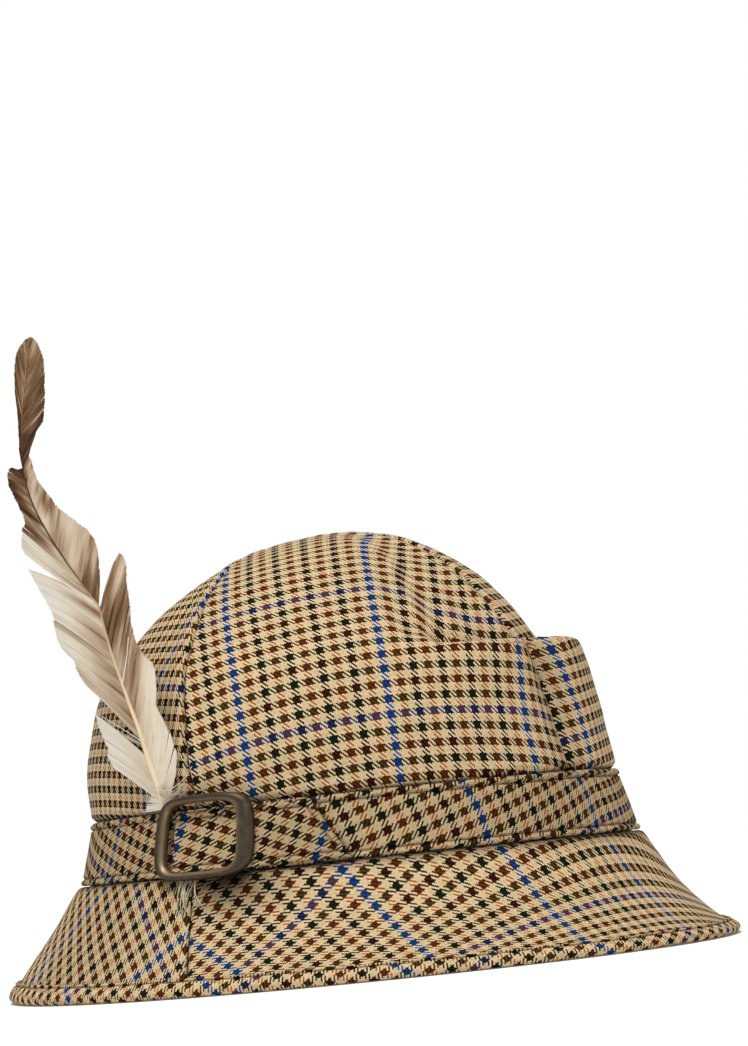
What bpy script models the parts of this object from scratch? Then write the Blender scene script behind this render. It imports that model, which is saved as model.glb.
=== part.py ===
# A round-crowned trilby in checked wool, with a buckled band and a feather.
# It stands on its brim edge: +Z is up, the front faces -Y, the wearer's right is -X.
# Run with: blender --background --python part.py

import math

import bmesh
import bpy
from mathutils import Vector

# Head line, where the crown meets the brim
HEAD_HALF_LENGTH = 0.1038
HEAD_HALF_WIDTH = 0.0906
HEAD_HEIGHT = 0.0374
HEAD_FRONT_TAPER = 0.022
HEAD_MEAN = (HEAD_HALF_LENGTH + HEAD_HALF_WIDTH) / 2

# Cloth walls and the gap that sewn pieces keep
CROWN_CLOTH = 0.0020
BAND_CLOTH = 0.0018
BRIM_CLOTH = 0.0030
GAP = 0.0003
BAND_CLEARANCE = 0.0005

# Crown. The four gores meet TOP_SETBACK behind the highest point, round a small hole
CROWN_HEIGHT = 0.1140
TOP_SETBACK = 0.0260
SETBACK_POWER = 1.5
SETBACK_START = 0.5
SETBACK_END = 0.3
SIDE_SEAM_ANGLE = 91.5
TOP_HOLE = 0.0012

# The pressed-in front: a rim, the crease behind it, and a dome that is set in
FOLD_RISE = 0.0665
FOLD_DEPTH = 0.0085
FOLD_CLOTH = 0.0220
FOLD_LIFT = 0.0025
FOLD_EASE = 0.0070
FOLD_WALL = 0.0016
RIM_INSIDE = 3.2
VALLEY_INSIDE = 1.3
SHELF_INSIDE = 0.6
INSET_MAX = 0.188
INSET_EASE = 0.62
FRONT_LEAN = 0.0026
LEAN_END = 0.35
RIM_PUSH = 0.0026
PUSH_START = 0.5
CENTRE_PULL = 0.0110
CENTRE_PULL_WIDTH_RIGHT = 0.0065
CENTRE_PULL_WIDTH_LEFT = 0.0100

# Brim
BRIM_FRONT_OUT = 0.0305
BRIM_BACK_OUT = 0.0278
BRIM_SIDE_OUT = 0.0292
BRIM_SEAM_ANGLE = 81.5
BRIM_SEAM_TURN = 0.25

# The crown's middle, so that the whole brim is centred front to back
CROWN_CENTRE_Y = (BRIM_FRONT_OUT - BRIM_BACK_OUT) / 2

# Band, and the strap end that the buckle holds
BAND_HEIGHT = 0.0212
BAND_FOLD_ROUND = 0.0007
BAND_RELEASE = 0.0030
STRAP_HEIGHT = 0.0200
STRAP_START_ANGLE = 90.5
STRAP_TIP_TOP_ANGLE = 61.4
STRAP_TIP_FOOT_ANGLE = 54.2

# Buckle
BUCKLE_WIDTH = 0.0386
BUCKLE_HEIGHT = 0.0274
BUCKLE_THICKNESS = 0.0034
BUCKLE_WINDOW_WIDTH = 0.0282
BUCKLE_WINDOW_HEIGHT = 0.0212
BUCKLE_WINDOW_SHIFT = 0.0010
BUCKLE_SQUARENESS = 5.0
WINDOW_SQUARENESS = 4.4
BUCKLE_ANGLE = 83.0
BUCKLE_RISE = 0.0121

# Feather
FEATHER_LENGTH = 0.1640
FEATHER_VANE = 0.0012
FEATHER_LEAN_OUT = 0.0030
FEATHER_BOW = 0.0020
FEATHER_FOOT_GAP = 0.0006
QUILL_WIDTH = 0.0024
QUILL_TIP_WIDTH = 0.0012
FEATHER_BACK = 0.0072
FEATHER_NOTCH = 0.0011

# Side outline of the crown.
# rise: share of CROWN_HEIGHT; reach: share of the head line's half axes
CROWN_PROFILE = (
    dict(rise=0.000, reach=1.000),
    dict(rise=0.093, reach=0.968),
    dict(rise=0.186, reach=0.944),
    dict(rise=0.311, reach=0.949),
    dict(rise=0.426, reach=0.928),
    dict(rise=0.563, reach=0.878),
    dict(rise=0.650, reach=0.806),
    dict(rise=0.740, reach=0.710),
    dict(rise=0.820, reach=0.605),
    dict(rise=0.905, reach=0.440),
    dict(rise=0.960, reach=0.280),
    dict(rise=0.990, reach=0.130),
    dict(rise=1.000, reach=0.000),
)

# The pressed-in front, by angle from the front towards the wearer's right, in degrees.
# fold: how far the crease behind the rim has formed; inset: share of INSET_MAX;
# lean: share of FRONT_LEAN, by which the wall stands in; push: share of RIM_PUSH at the rim
FRONT_FOLD = (
    dict(angle=-180, fold=0.00, inset=0.00, lean=0.0, push=0.0),
    dict(angle=-105, fold=0.00, inset=0.00, lean=0.0, push=0.0),
    dict(angle=-80, fold=0.00, inset=0.35, lean=0.4, push=0.0),
    dict(angle=-66, fold=0.45, inset=0.80, lean=0.8, push=0.0),
    dict(angle=-50, fold=1.00, inset=1.00, lean=1.0, push=0.2),
    dict(angle=-30, fold=1.00, inset=0.95, lean=1.0, push=0.6),
    dict(angle=-12, fold=1.00, inset=0.72, lean=1.0, push=1.0),
    dict(angle=12, fold=1.00, inset=0.60, lean=1.0, push=1.0),
    dict(angle=23, fold=0.85, inset=0.45, lean=0.9, push=0.8),
    dict(angle=33, fold=0.20, inset=0.20, lean=0.6, push=0.3),
    dict(angle=41, fold=0.00, inset=0.07, lean=0.3, push=0.0),
    dict(angle=60, fold=0.00, inset=0.00, lean=0.0, push=0.0),
    dict(angle=180, fold=0.00, inset=0.00, lean=0.0, push=0.0),
)

# How far the centre-front seam is drawn in, from the band's top to the rim.
# height: share of the way up to the rim; pull: share of CENTRE_PULL
CENTRE_SEAM = (
    dict(height=-0.30, pull=0.00),
    dict(height=0.00, pull=0.02),
    dict(height=0.25, pull=0.16),
    dict(height=0.50, pull=0.28),
    dict(height=0.75, pull=0.52),
    dict(height=1.00, pull=1.00),
    dict(height=1.20, pull=0.45),
    dict(height=1.45, pull=0.00),
)

# Slope of the brim. across: share of the brim's reach;
# front and back: share of its fall there, as the brim flares out more in front
BRIM_LINE = (
    dict(across=0.00, front=0.000, back=0.000),
    dict(across=0.22, front=0.320, back=0.210),
    dict(across=0.46, front=0.600, back=0.440),
    dict(across=0.70, front=0.815, back=0.680),
    dict(across=0.90, front=0.945, back=0.890),
    dict(across=1.00, front=1.000, back=1.000),
)

# The brim's edge, round outside and flat where it stands, as shares of BRIM_CLOTH.
# inward: in from the outermost point; height: above the surface
BRIM_FOOT = (
    dict(inward=0.05, height=0.20),
    dict(inward=0.30, height=0.00),
    dict(inward=0.70, height=0.00),
    dict(inward=1.10, height=0.00),
    dict(inward=1.25, height=0.25),
)

# Section of the buckle's frame. across: share of the way from the window to the outer edge;
# lift: share of BUCKLE_THICKNESS
BUCKLE_SECTION = (
    dict(across=0.00, lift=0.00),
    dict(across=0.00, lift=0.45),
    dict(across=0.22, lift=0.86),
    dict(across=0.55, lift=1.00),
    dict(across=0.86, lift=0.80),
    dict(across=1.00, lift=0.40),
    dict(across=1.00, lift=0.00),
    dict(across=0.50, lift=0.00),
)

# The feather in side view, as shares of FEATHER_LENGTH. rise: above the band's top;
# shaft, back and front: how far behind the quill's foot the shaft and the vane's edges lie
FEATHER_SECTIONS = (
    dict(rise=0.000, shaft=0.002, back=0.024, front=-0.008),
    dict(rise=0.028, shaft=0.010, back=0.052, front=-0.022),
    dict(rise=0.075, shaft=0.024, back=0.118, front=-0.040),
    dict(rise=0.115, shaft=0.036, back=0.150, front=-0.048),
    dict(rise=0.148, shaft=0.047, back=0.142, front=-0.036),
    dict(rise=0.175, shaft=0.056, back=0.104, front=-0.018),
    dict(rise=0.225, shaft=0.074, back=0.150, front=-0.008),
    dict(rise=0.275, shaft=0.091, back=0.198, front=-0.004),
    dict(rise=0.305, shaft=0.101, back=0.218, front=0.010),
    dict(rise=0.335, shaft=0.111, back=0.232, front=0.030),
    dict(rise=0.365, shaft=0.118, back=0.262, front=0.090),
    dict(rise=0.420, shaft=0.131, back=0.272, front=0.122),
    dict(rise=0.480, shaft=0.175, back=0.304, front=0.122),
    dict(rise=0.530, shaft=0.218, back=0.336, front=0.121),
    dict(rise=0.575, shaft=0.248, back=0.346, front=0.140),
    dict(rise=0.630, shaft=0.282, back=0.336, front=0.210),
    dict(rise=0.670, shaft=0.300, back=0.348, front=0.252),
    dict(rise=0.712, shaft=0.310, back=0.370, front=0.282),
    dict(rise=0.735, shaft=0.312, back=0.332, front=0.290),
    dict(rise=0.775, shaft=0.306, back=0.328, front=0.286),
    dict(rise=0.825, shaft=0.290, back=0.322, front=0.244),
    dict(rise=0.880, shaft=0.286, back=0.326, front=0.236),
    dict(rise=0.935, shaft=0.280, back=0.318, front=0.226),
    dict(rise=0.975, shaft=0.268, back=0.296, front=0.238),
    dict(rise=1.000, shaft=0.256, back=0.268, front=0.248),
)

# The short brown plume that stands up in front of the shaft, with the same columns
TUFT_SECTIONS = (
    dict(rise=0.290, back=0.104, front=0.030),
    dict(rise=0.330, back=0.112, front=0.032),
    dict(rise=0.380, back=0.118, front=0.046),
    dict(rise=0.420, back=0.112, front=0.040),
    dict(rise=0.455, back=0.098, front=0.052),
    dict(rise=0.490, back=0.082, front=0.046),
    dict(rise=0.520, back=0.062, front=0.056),
)

CROWN_LOW_ROWS = 4
CROWN_FOLD_ROWS = 11
CROWN_TOP_ROWS = 8
FRONT_COLUMNS = 17
BACK_COLUMNS = 14
BRIM_COLUMNS = 33
BAND_COLUMNS = 96
STRAP_COLUMNS = 14
BUCKLE_STATIONS = 36
QUILL_SIDES = 8
SHARP_ANGLE = 38.0

# A short step along the crown's outline, to find its slope
NEARBY = 0.01


def clamp(value):
    return max(0.0, min(1.0, value))


def smooth(start, end, value):
    share = clamp((value - start) / (end - start))
    return share * share * (3 - 2 * share)


def mix(first, second, share):
    return first + (second - first) * share


def hermite(knots, values, at):
    """Reads a smooth curve through the values; at lies between the first and last knot."""
    last = len(knots) - 1
    at = max(knots[0], min(knots[last], at))
    i = 0
    while i < last - 1 and at > knots[i + 1]:
        i += 1
    span = knots[i + 1] - knots[i]

    def slope(k):
        low, high = max(k - 1, 0), min(k + 1, last)
        return (values[high] - values[low]) / (knots[high] - knots[low])

    t = (at - knots[i]) / span
    start = (2 * t ** 3 - 3 * t ** 2 + 1) * values[i] + (t ** 3 - 2 * t ** 2 + t) * span * slope(i)
    end = (3 * t ** 2 - 2 * t ** 3) * values[i + 1] + (t ** 3 - t ** 2) * span * slope(i + 1)
    return start + end


def read(table, key, column, at):
    return hermite([row[key] for row in table], [row[column] for row in table], at)


def read_straight(table, key, column, at):
    """Reads a column with eased steps from row to row, so that it never overshoots."""
    for low, high in zip(table, table[1:]):
        if at <= high[key]:
            return mix(low[column], high[column], smooth(low[key], high[key], at))
    return table[-1][column]


def trace_profile(steps=12):
    """Walks up the crown's outline and gives (share of its length, reach, rise) on the way."""
    indices = range(len(CROWN_PROFILE))
    reaches = [row["reach"] for row in CROWN_PROFILE]
    rises = [row["rise"] * CROWN_HEIGHT for row in CROWN_PROFILE]
    points = []
    for k in range((len(CROWN_PROFILE) - 1) * steps + 1):
        points.append((hermite(indices, reaches, k / steps), hermite(indices, rises, k / steps)))
    lengths = [0.0]
    for low, high in zip(points, points[1:]):
        lengths.append(lengths[-1] + math.hypot((high[0] - low[0]) * HEAD_MEAN, high[1] - low[1]))
    total = lengths[-1]
    return total, [(length / total, reach, rise) for length, (reach, rise) in zip(lengths, points)]


OUTLINE_LENGTH, OUTLINE = trace_profile()


def dome(along):
    """Reach (share) and rise (metres) of the plain dome, by share of the way to its top."""
    along = clamp(along)
    for low, high in zip(OUTLINE, OUTLINE[1:]):
        if along <= high[0]:
            share = (along - low[0]) / (high[0] - low[0])
            return mix(low[1], high[1], share), mix(low[2], high[2], share)
    return OUTLINE[-1][1], OUTLINE[-1][2]


def along_at_rise(rise):
    for low, high in zip(OUTLINE, OUTLINE[1:]):
        if rise <= high[2]:
            return mix(low[0], high[0], (rise - low[2]) / (high[2] - low[2]))
    return 1.0


BAND_TOP_ALONG = along_at_rise(BAND_HEIGHT)
RIM_ALONG = along_at_rise(FOLD_RISE)
FOLD_END_ALONG = RIM_ALONG + FOLD_CLOTH / OUTLINE_LENGTH
FOLD_EASE_ALONG = FOLD_EASE / OUTLINE_LENGTH
SHELF_ALONG = along_at_rise(FOLD_RISE + FOLD_LIFT)


def tuck(rise):
    """How far the crown is held in under the band, as a share of the half axes."""
    hold = 1 - smooth(BAND_HEIGHT + GAP, BAND_HEIGHT + BAND_RELEASE, rise)
    return (BAND_CLOTH + BAND_CLEARANCE) / HEAD_MEAN * hold


def plain_meridian(along, inset, lean, push):
    """The meridian without a crease: the wall leans in, and the dome above it is set in."""
    reach, rise = dome(along)
    above = smooth(RIM_ALONG - FOLD_EASE_ALONG, FOLD_END_ALONG, along)
    out = push * smooth(mix(BAND_TOP_ALONG, RIM_ALONG, PUSH_START), RIM_ALONG, along)
    out -= lean * smooth(BAND_TOP_ALONG, mix(BAND_TOP_ALONG, RIM_ALONG, LEAN_END), along)
    eased = inset * (1 - INSET_EASE * clamp((along - RIM_ALONG) / (1 - RIM_ALONG)))
    return reach * (1 - eased * above) + out * (1 - above) / HEAD_MEAN, rise


def upper_meridian(along, inset):
    """The dome behind the crease: set in, and lowered by the cloth that the crease takes."""
    share = (along - FOLD_END_ALONG) / (1 - FOLD_END_ALONG)
    reach, rise = dome(mix(SHELF_ALONG, 1.0, share))
    return reach * (1 - inset * (1 - INSET_EASE * clamp(share))), rise


def wall_offset(point, towards, depth):
    """Moves a (reach, rise) point inwards by depth, square to the line towards another point."""
    run = (towards[0] - point[0]) * HEAD_MEAN
    climb = towards[1] - point[1]
    length = max(math.hypot(run, climb), 1e-9)
    return point[0] - climb / length * depth / HEAD_MEAN, point[1] + run / length * depth


def folded_meridian(along, inset, lean, push, depth):
    """The meridian with the rim and crease fully formed, depth metres inside its face."""
    if along <= RIM_ALONG - FOLD_EASE_ALONG:
        here = plain_meridian(along, inset, lean, push)
        return wall_offset(here, plain_meridian(along + NEARBY, inset, lean, push), depth)
    if along >= FOLD_END_ALONG + FOLD_EASE_ALONG:
        here = upper_meridian(along, inset)
        return wall_offset(here, upper_meridian(along + NEARBY, inset), depth)
    rim_reach = dome(RIM_ALONG)[0] + (push - lean) / HEAD_MEAN
    shelf = upper_meridian(FOLD_END_ALONG, inset)
    valley = (mix(rim_reach, shelf[0], 0.5), FOLD_RISE - FOLD_DEPTH)
    inward = depth / CROWN_CLOTH * FOLD_WALL
    rim_in = (rim_reach - inward / HEAD_MEAN, FOLD_RISE - inward * RIM_INSIDE)
    valley_in = (valley[0], valley[1] - inward * VALLEY_INSIDE)
    shelf_in = (shelf[0] - inward / HEAD_MEAN, shelf[1] - inward * SHELF_INSIDE)
    knots = [RIM_ALONG - 2 * FOLD_EASE_ALONG, RIM_ALONG - FOLD_EASE_ALONG, RIM_ALONG,
             mix(RIM_ALONG, FOLD_END_ALONG, 0.5), FOLD_END_ALONG,
             FOLD_END_ALONG + FOLD_EASE_ALONG, FOLD_END_ALONG + 2 * FOLD_EASE_ALONG]
    low = [folded_meridian(knot, inset, lean, push, depth) for knot in knots[:2]]
    high = [folded_meridian(knot, inset, lean, push, depth) for knot in knots[5:]]
    line = low + [rim_in, valley_in, shelf_in] + high
    return (hermite(knots, [point[0] for point in line], along),
            hermite(knots, [point[1] for point in line], along))


def centre_pull(angle, along):
    """How far the centre-front seam draws the cloth in here, in metres."""
    height = (along - BAND_TOP_ALONG) / (RIM_ALONG - BAND_TOP_ALONG)
    if height >= CENTRE_SEAM[-1]["height"]:
        return 0.0
    sideways = math.radians(angle) * HEAD_HALF_WIDTH
    width = CENTRE_PULL_WIDTH_RIGHT if angle > 0 else CENTRE_PULL_WIDTH_LEFT
    return CENTRE_PULL * read(CENTRE_SEAM, "height", "pull", height) * math.exp(-(sideways / width) ** 2)


def crown_point(angle, along, depth=0.0):
    """A point of the crown, depth metres inside its face. angle is in degrees from the front."""
    fold = read_straight(FRONT_FOLD, "angle", "fold", angle)
    inset = INSET_MAX * read_straight(FRONT_FOLD, "angle", "inset", angle)
    lean = FRONT_LEAN * read_straight(FRONT_FOLD, "angle", "lean", angle)
    push = RIM_PUSH * read_straight(FRONT_FOLD, "angle", "push", angle)
    here = plain_meridian(along, inset, lean, push)
    if along > 1 - NEARBY:
        plain = (here[0], here[1] - depth)
    else:
        plain = wall_offset(here, plain_meridian(along + NEARBY, inset, lean, push), depth)
    folded = folded_meridian(along, inset, lean, push, depth) if fold > 0 else plain
    reach = mix(plain[0], folded[0], fold) - tuck(here[1])
    reach -= centre_pull(angle, along) / HEAD_MEAN
    rise = mix(plain[1], folded[1], fold)
    reach = max(reach, 0.0)
    return head_point(angle, reach, HEAD_HEIGHT + GAP + max(rise, 0.0))


def head_point(angle, reach, height):
    """A point at a share of the head line's half axes, angle degrees round from the front."""
    turn = math.radians(angle)
    reach *= head_taper(angle)
    return Vector((-HEAD_HALF_WIDTH * reach * math.sin(turn),
                   CROWN_CENTRE_Y - HEAD_HALF_LENGTH * reach * math.cos(turn),
                   height))


def head_taper(angle):
    """The head line is a little narrower than an oval on both sides of the front."""
    turn = math.radians(angle)
    return 1 - HEAD_FRONT_TAPER * math.sin(2 * turn) ** 2 * smooth(-0.1, 0.3, math.cos(turn))


def gore_point(angle, ring, depth):
    """A point on a gore's line. The four gores meet at ring 0, set back from the highest point."""
    turn = math.radians(angle)
    shift = TOP_SETBACK / OUTLINE_LENGTH * (1 - ring) ** SETBACK_POWER
    forward = ring * math.cos(turn) - shift
    sideways = ring * math.sin(turn)
    shifted = math.hypot(forward, sideways)
    along = 1 - mix(ring, shifted, smooth(SETBACK_START, SETBACK_END, ring))
    seen = math.degrees(math.atan2(sideways, forward))
    if angle >= 180:
        seen %= 360
    if angle <= -180 and seen > 0:
        seen -= 360
    return crown_point(seen, along, depth)


def crown_rings():
    """The rings from the head line to the top, close together at the crease."""
    fold_start = RIM_ALONG - FOLD_EASE_ALONG
    fold_end = FOLD_END_ALONG + FOLD_EASE_ALONG
    top = 1 - TOP_HOLE / OUTLINE_LENGTH
    free = along_at_rise(BAND_HEIGHT + BAND_RELEASE)
    band = [0.0, 0.5 * BAND_TOP_ALONG, along_at_rise(BAND_HEIGHT + GAP)]
    low = band + [mix(free, fold_start, i / CROWN_LOW_ROWS) for i in range(CROWN_LOW_ROWS)]
    fold = [mix(fold_start, fold_end, i / CROWN_FOLD_ROWS) for i in range(CROWN_FOLD_ROWS)]
    high = [mix(fold_end, top, i / CROWN_TOP_ROWS) for i in range(CROWN_TOP_ROWS + 1)]
    return [1 - along for along in low + fold + high]


def seam_clearance(ring):
    """Half of the sewing gap, as an angle in degrees at this ring."""
    radius = max(dome(1 - ring)[0] * HEAD_HALF_WIDTH, TOP_HOLE)
    return math.degrees(math.asin(min(0.5 * GAP / radius, 0.5)))


def build_gore(name, start, end, columns, crowding, material):
    """One gore between two seams; crowding above 1 packs its columns towards the start."""
    rings = crown_rings()
    sections = []
    for i in range(columns):
        share = (i / (columns - 1)) ** crowding
        side = 1 if end > start else -1
        outer, inner = [], []
        for ring in rings:
            gap = side * seam_clearance(ring)
            angle = mix(start + gap, end - gap, share)
            outer.append(gore_point(angle, ring, 0.0))
            inner.append(gore_point(angle, ring, CROWN_CLOTH))
        sections.append(outer + inner[::-1])
    return build_loft(name, sections, False, material)


def add_faces(bm, rings, closed):
    """Joins each ring of vertices to the next, and caps the two ends when it isn't closed."""
    count = len(rings[0])
    pairs = list(zip(rings, rings[1:]))
    if closed:
        pairs.append((rings[-1], rings[0]))
    for low, high in pairs:
        for i in range(count):
            j = (i + 1) % count
            bm.faces.new((low[i], low[j], high[j], high[i]))
    if not closed:
        for ring in (rings[0], rings[-1]):
            for i in range(count // 2 - 1):
                bm.faces.new((ring[i], ring[i + 1], ring[count - 2 - i], ring[count - 1 - i]))


def build_loft(name, sections, closed, material):
    """A solid lofted through closed sections that all have the same even number of points."""
    bm = bmesh.new()
    rings = [[bm.verts.new(point) for point in section] for section in sections]
    add_faces(bm, rings, closed)
    bmesh.ops.recalc_face_normals(bm, faces=bm.faces)
    mesh = bpy.data.meshes.new(name)
    bm.to_mesh(mesh)
    bm.free()
    mesh.shade_smooth()
    mesh.set_sharp_from_angle(angle=math.radians(SHARP_ANGLE))
    mesh.materials.append(material)
    part = bpy.data.objects.new(name, mesh)
    bpy.context.scene.collection.objects.link(part)
    return part


def brim_out(angle):
    """How far the brim reaches out past the head line at this angle."""
    forward = math.cos(math.radians(angle))
    end_out = BRIM_FRONT_OUT if forward > 0 else BRIM_BACK_OUT
    return mix(BRIM_SIDE_OUT, end_out, forward * forward)


def brim_section(angle):
    """The brim's section: the slope above, the round edge, the flat foot and the underside."""
    out = brim_out(angle)
    fall = HEAD_HEIGHT - BRIM_CLOTH / 2
    slant = math.atan2(fall, out)
    inward = BRIM_CLOTH * math.sin(slant)
    downward = BRIM_CLOTH * math.cos(slant)
    turn = math.radians(angle)
    taper = head_taper(angle)
    frontness = (1 + math.cos(turn)) / 2
    top = []
    for row in BRIM_LINE:
        drop = mix(row["back"], row["front"], frontness)
        top.append((row["across"] * out, HEAD_HEIGHT - drop * fall))
    foot = [(out - row["inward"] * BRIM_CLOTH, row["height"] * BRIM_CLOTH) for row in BRIM_FOOT]
    under = [(run - inward, height - downward) for run, height in top[1:-1]]
    head = [(-inward - BRIM_SEAM_TURN * BRIM_CLOTH, HEAD_HEIGHT)]
    profile = top + foot + under[::-1] + head
    points = []
    for run, height in profile:
        points.append(Vector((-(HEAD_HALF_WIDTH * taper + run) * math.sin(turn),
                              CROWN_CENTRE_Y - (HEAD_HALF_LENGTH * taper + run) * math.cos(turn),
                              height)))
    return points


def build_brim(name, start, end, material):
    gap = math.degrees(0.5 * GAP / HEAD_HALF_WIDTH)
    angles = [mix(start + gap, end - gap, i / (BRIM_COLUMNS - 1)) for i in range(BRIM_COLUMNS)]
    return build_loft(name, [brim_section(angle) for angle in angles], False, material)


def band_point(angle, rise, out):
    """A point out metres off the band's face, which stands upright above the band's top."""
    slope = (1.0 - dome(BAND_TOP_ALONG)[0]) / BAND_HEIGHT
    reach = 1.0 - slope * min(rise, BAND_HEIGHT) + out / HEAD_MEAN
    return head_point(angle, reach, HEAD_HEIGHT + GAP + rise)


def strip_profile(low, high, out):
    """A cloth strip's section as (rise, out) pairs: a flat strip with rolled edges."""
    roll = BAND_FOLD_ROUND
    back = out - BAND_CLOTH
    shoulder = out - BAND_FOLD_ROUND
    return [(low, back), (low, shoulder), (low + roll, out), (high - roll, out), (high, shoulder), (high, back)]


def build_band(material):
    profile = strip_profile(0.0, BAND_HEIGHT, 0.0)
    sections = []
    for i in range(BAND_COLUMNS):
        angle = 360 * i / BAND_COLUMNS
        sections.append([band_point(angle, rise, out) for rise, out in profile])
    return build_loft("hat_band", sections, True, material)


def build_strap_end(material):
    """The strap end: it starts under the buckle, lies on the band and is cut on the slant."""
    low = (BAND_HEIGHT - STRAP_HEIGHT) / 2
    profile = strip_profile(low, low + STRAP_HEIGHT, BAND_CLOTH + GAP)
    sections = []
    for i in range(STRAP_COLUMNS):
        share = i / (STRAP_COLUMNS - 1)
        top_angle = mix(STRAP_START_ANGLE, STRAP_TIP_TOP_ANGLE, share)
        foot_angle = mix(STRAP_START_ANGLE, STRAP_TIP_FOOT_ANGLE, share)
        section = []
        for rise, out in profile:
            angle = mix(foot_angle, top_angle, (rise - low) / STRAP_HEIGHT)
            section.append(band_point(angle, rise, out))
        sections.append(section)
    return build_loft("band_end", sections, False, material)


def rounded_square(width, height, squareness, turn):
    """A point of a rounded square's outline at this turn, in radians."""
    c, s = math.cos(turn), math.sin(turn)
    return (math.copysign(abs(c) ** (2 / squareness), c) * width / 2,
            math.copysign(abs(s) ** (2 / squareness), s) * height / 2)


def build_buckle(material):
    """A domed frame without a prong, bent to the band's curve."""
    strap_seat = BAND_CLOTH + 2 * GAP
    quill_seat = QUILL_WIDTH + 3 * GAP
    sections = []
    for i in range(BUCKLE_STATIONS):
        turn = 2 * math.pi * i / BUCKLE_STATIONS
        outer = rounded_square(BUCKLE_WIDTH, BUCKLE_HEIGHT, BUCKLE_SQUARENESS, turn)
        inner = rounded_square(BUCKLE_WINDOW_WIDTH, BUCKLE_WINDOW_HEIGHT, WINDOW_SQUARENESS, turn)
        inner = (inner[0] + BUCKLE_WINDOW_SHIFT, inner[1])
        section = []
        for row in BUCKLE_SECTION:
            sideways = mix(inner[0], outer[0], row["across"])
            up = mix(inner[1], outer[1], row["across"])
            angle = BUCKLE_ANGLE + math.degrees(sideways / HEAD_HALF_LENGTH)
            seat = mix(strap_seat, quill_seat, clamp(sideways / BUCKLE_WIDTH + 0.5))
            out = seat + row["lift"] * BUCKLE_THICKNESS
            section.append(band_point(angle, BUCKLE_RISE + up, out))
        sections.append(section)
    return build_loft("buckle", sections, True, material)


def feather_plane(rise):
    """How far out to the wearer's right the feather's plane lies, at a share of its length."""
    foot = HEAD_HALF_WIDTH * dome(BAND_TOP_ALONG)[0] + 0.5 * QUILL_WIDTH + GAP
    return foot + FEATHER_LEAN_OUT * rise + FEATHER_BOW * math.sin(math.pi * clamp(rise))


def feather_point(back, rise, out):
    """A point of the feather: back and rise are shares of its length, out is in metres."""
    return Vector((-(feather_plane(rise) + out),
                   CROWN_CENTRE_Y + FEATHER_BACK + back * FEATHER_LENGTH,
                   HEAD_HEIGHT + GAP + BAND_HEIGHT + FEATHER_FOOT_GAP + rise * FEATHER_LENGTH))


def vane_sections(table, steps):
    """Sections up a vane, whose edges step in and out where the barbs part into strips."""
    sections = []
    half = FEATHER_VANE / 2
    notch = FEATHER_NOTCH / FEATHER_LENGTH
    rows = len(table) - 1
    for k in range(rows * steps + 1):
        i = min(k // steps, rows - 1)
        share = k / steps - i
        low, high = table[i], table[i + 1]
        rise = mix(low["rise"], high["rise"], share)
        tooth = notch if k % 2 else -notch
        back = mix(low["back"], high["back"], share) + tooth
        front = mix(low["front"], high["front"], share) - tooth
        sections.append([feather_point(back, rise, -half), feather_point(back, rise, half),
                         feather_point(front, rise, half), feather_point(front, rise, -half)])
    return sections


def quill_sections():
    """The shaft, from its foot at the band's top to just short of the feather's tip."""
    sections = []
    for row in FEATHER_SECTIONS[:-1]:
        rise, back = row["rise"], row["shaft"]
        width = mix(QUILL_WIDTH, QUILL_TIP_WIDTH, rise)
        section = []
        for i in range(QUILL_SIDES):
            turn = 2 * math.pi * (i + 0.5) / QUILL_SIDES
            section.append(feather_point(back + 0.5 * width * math.cos(turn) / FEATHER_LENGTH, rise,
                                         0.5 * width * math.sin(turn)))
        sections.append(section)
    return sections


def join_solid(target, tool):
    """Fuses the tool into the target, and leaves the tool out of the model."""
    union = target.modifiers.new("join_" + tool.name, "BOOLEAN")
    union.operation = "UNION"
    union.solver = "EXACT"
    union.object = tool
    tool.hide_render = True
    tool.display_type = "WIRE"


def build_feather(material):
    feather = build_loft("feather", vane_sections(FEATHER_SECTIONS, 2), False, material)
    shaft = build_loft("feather_shaft_tool", quill_sections(), False, material)
    tuft = build_loft("feather_tuft_tool", vane_sections(TUFT_SECTIONS, 2), False, material)
    join_solid(feather, shaft)
    join_solid(feather, tuft)
    return [feather, shaft, tuft]


def make_material(name, colour, roughness, metallic=0.0):
    material = bpy.data.materials.new(name)
    material.use_nodes = True
    shader = material.node_tree.nodes["Principled BSDF"]
    shader.inputs["Base Color"].default_value = (*colour, 1.0)
    shader.inputs["Roughness"].default_value = roughness
    shader.inputs["Metallic"].default_value = metallic
    return material


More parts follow.
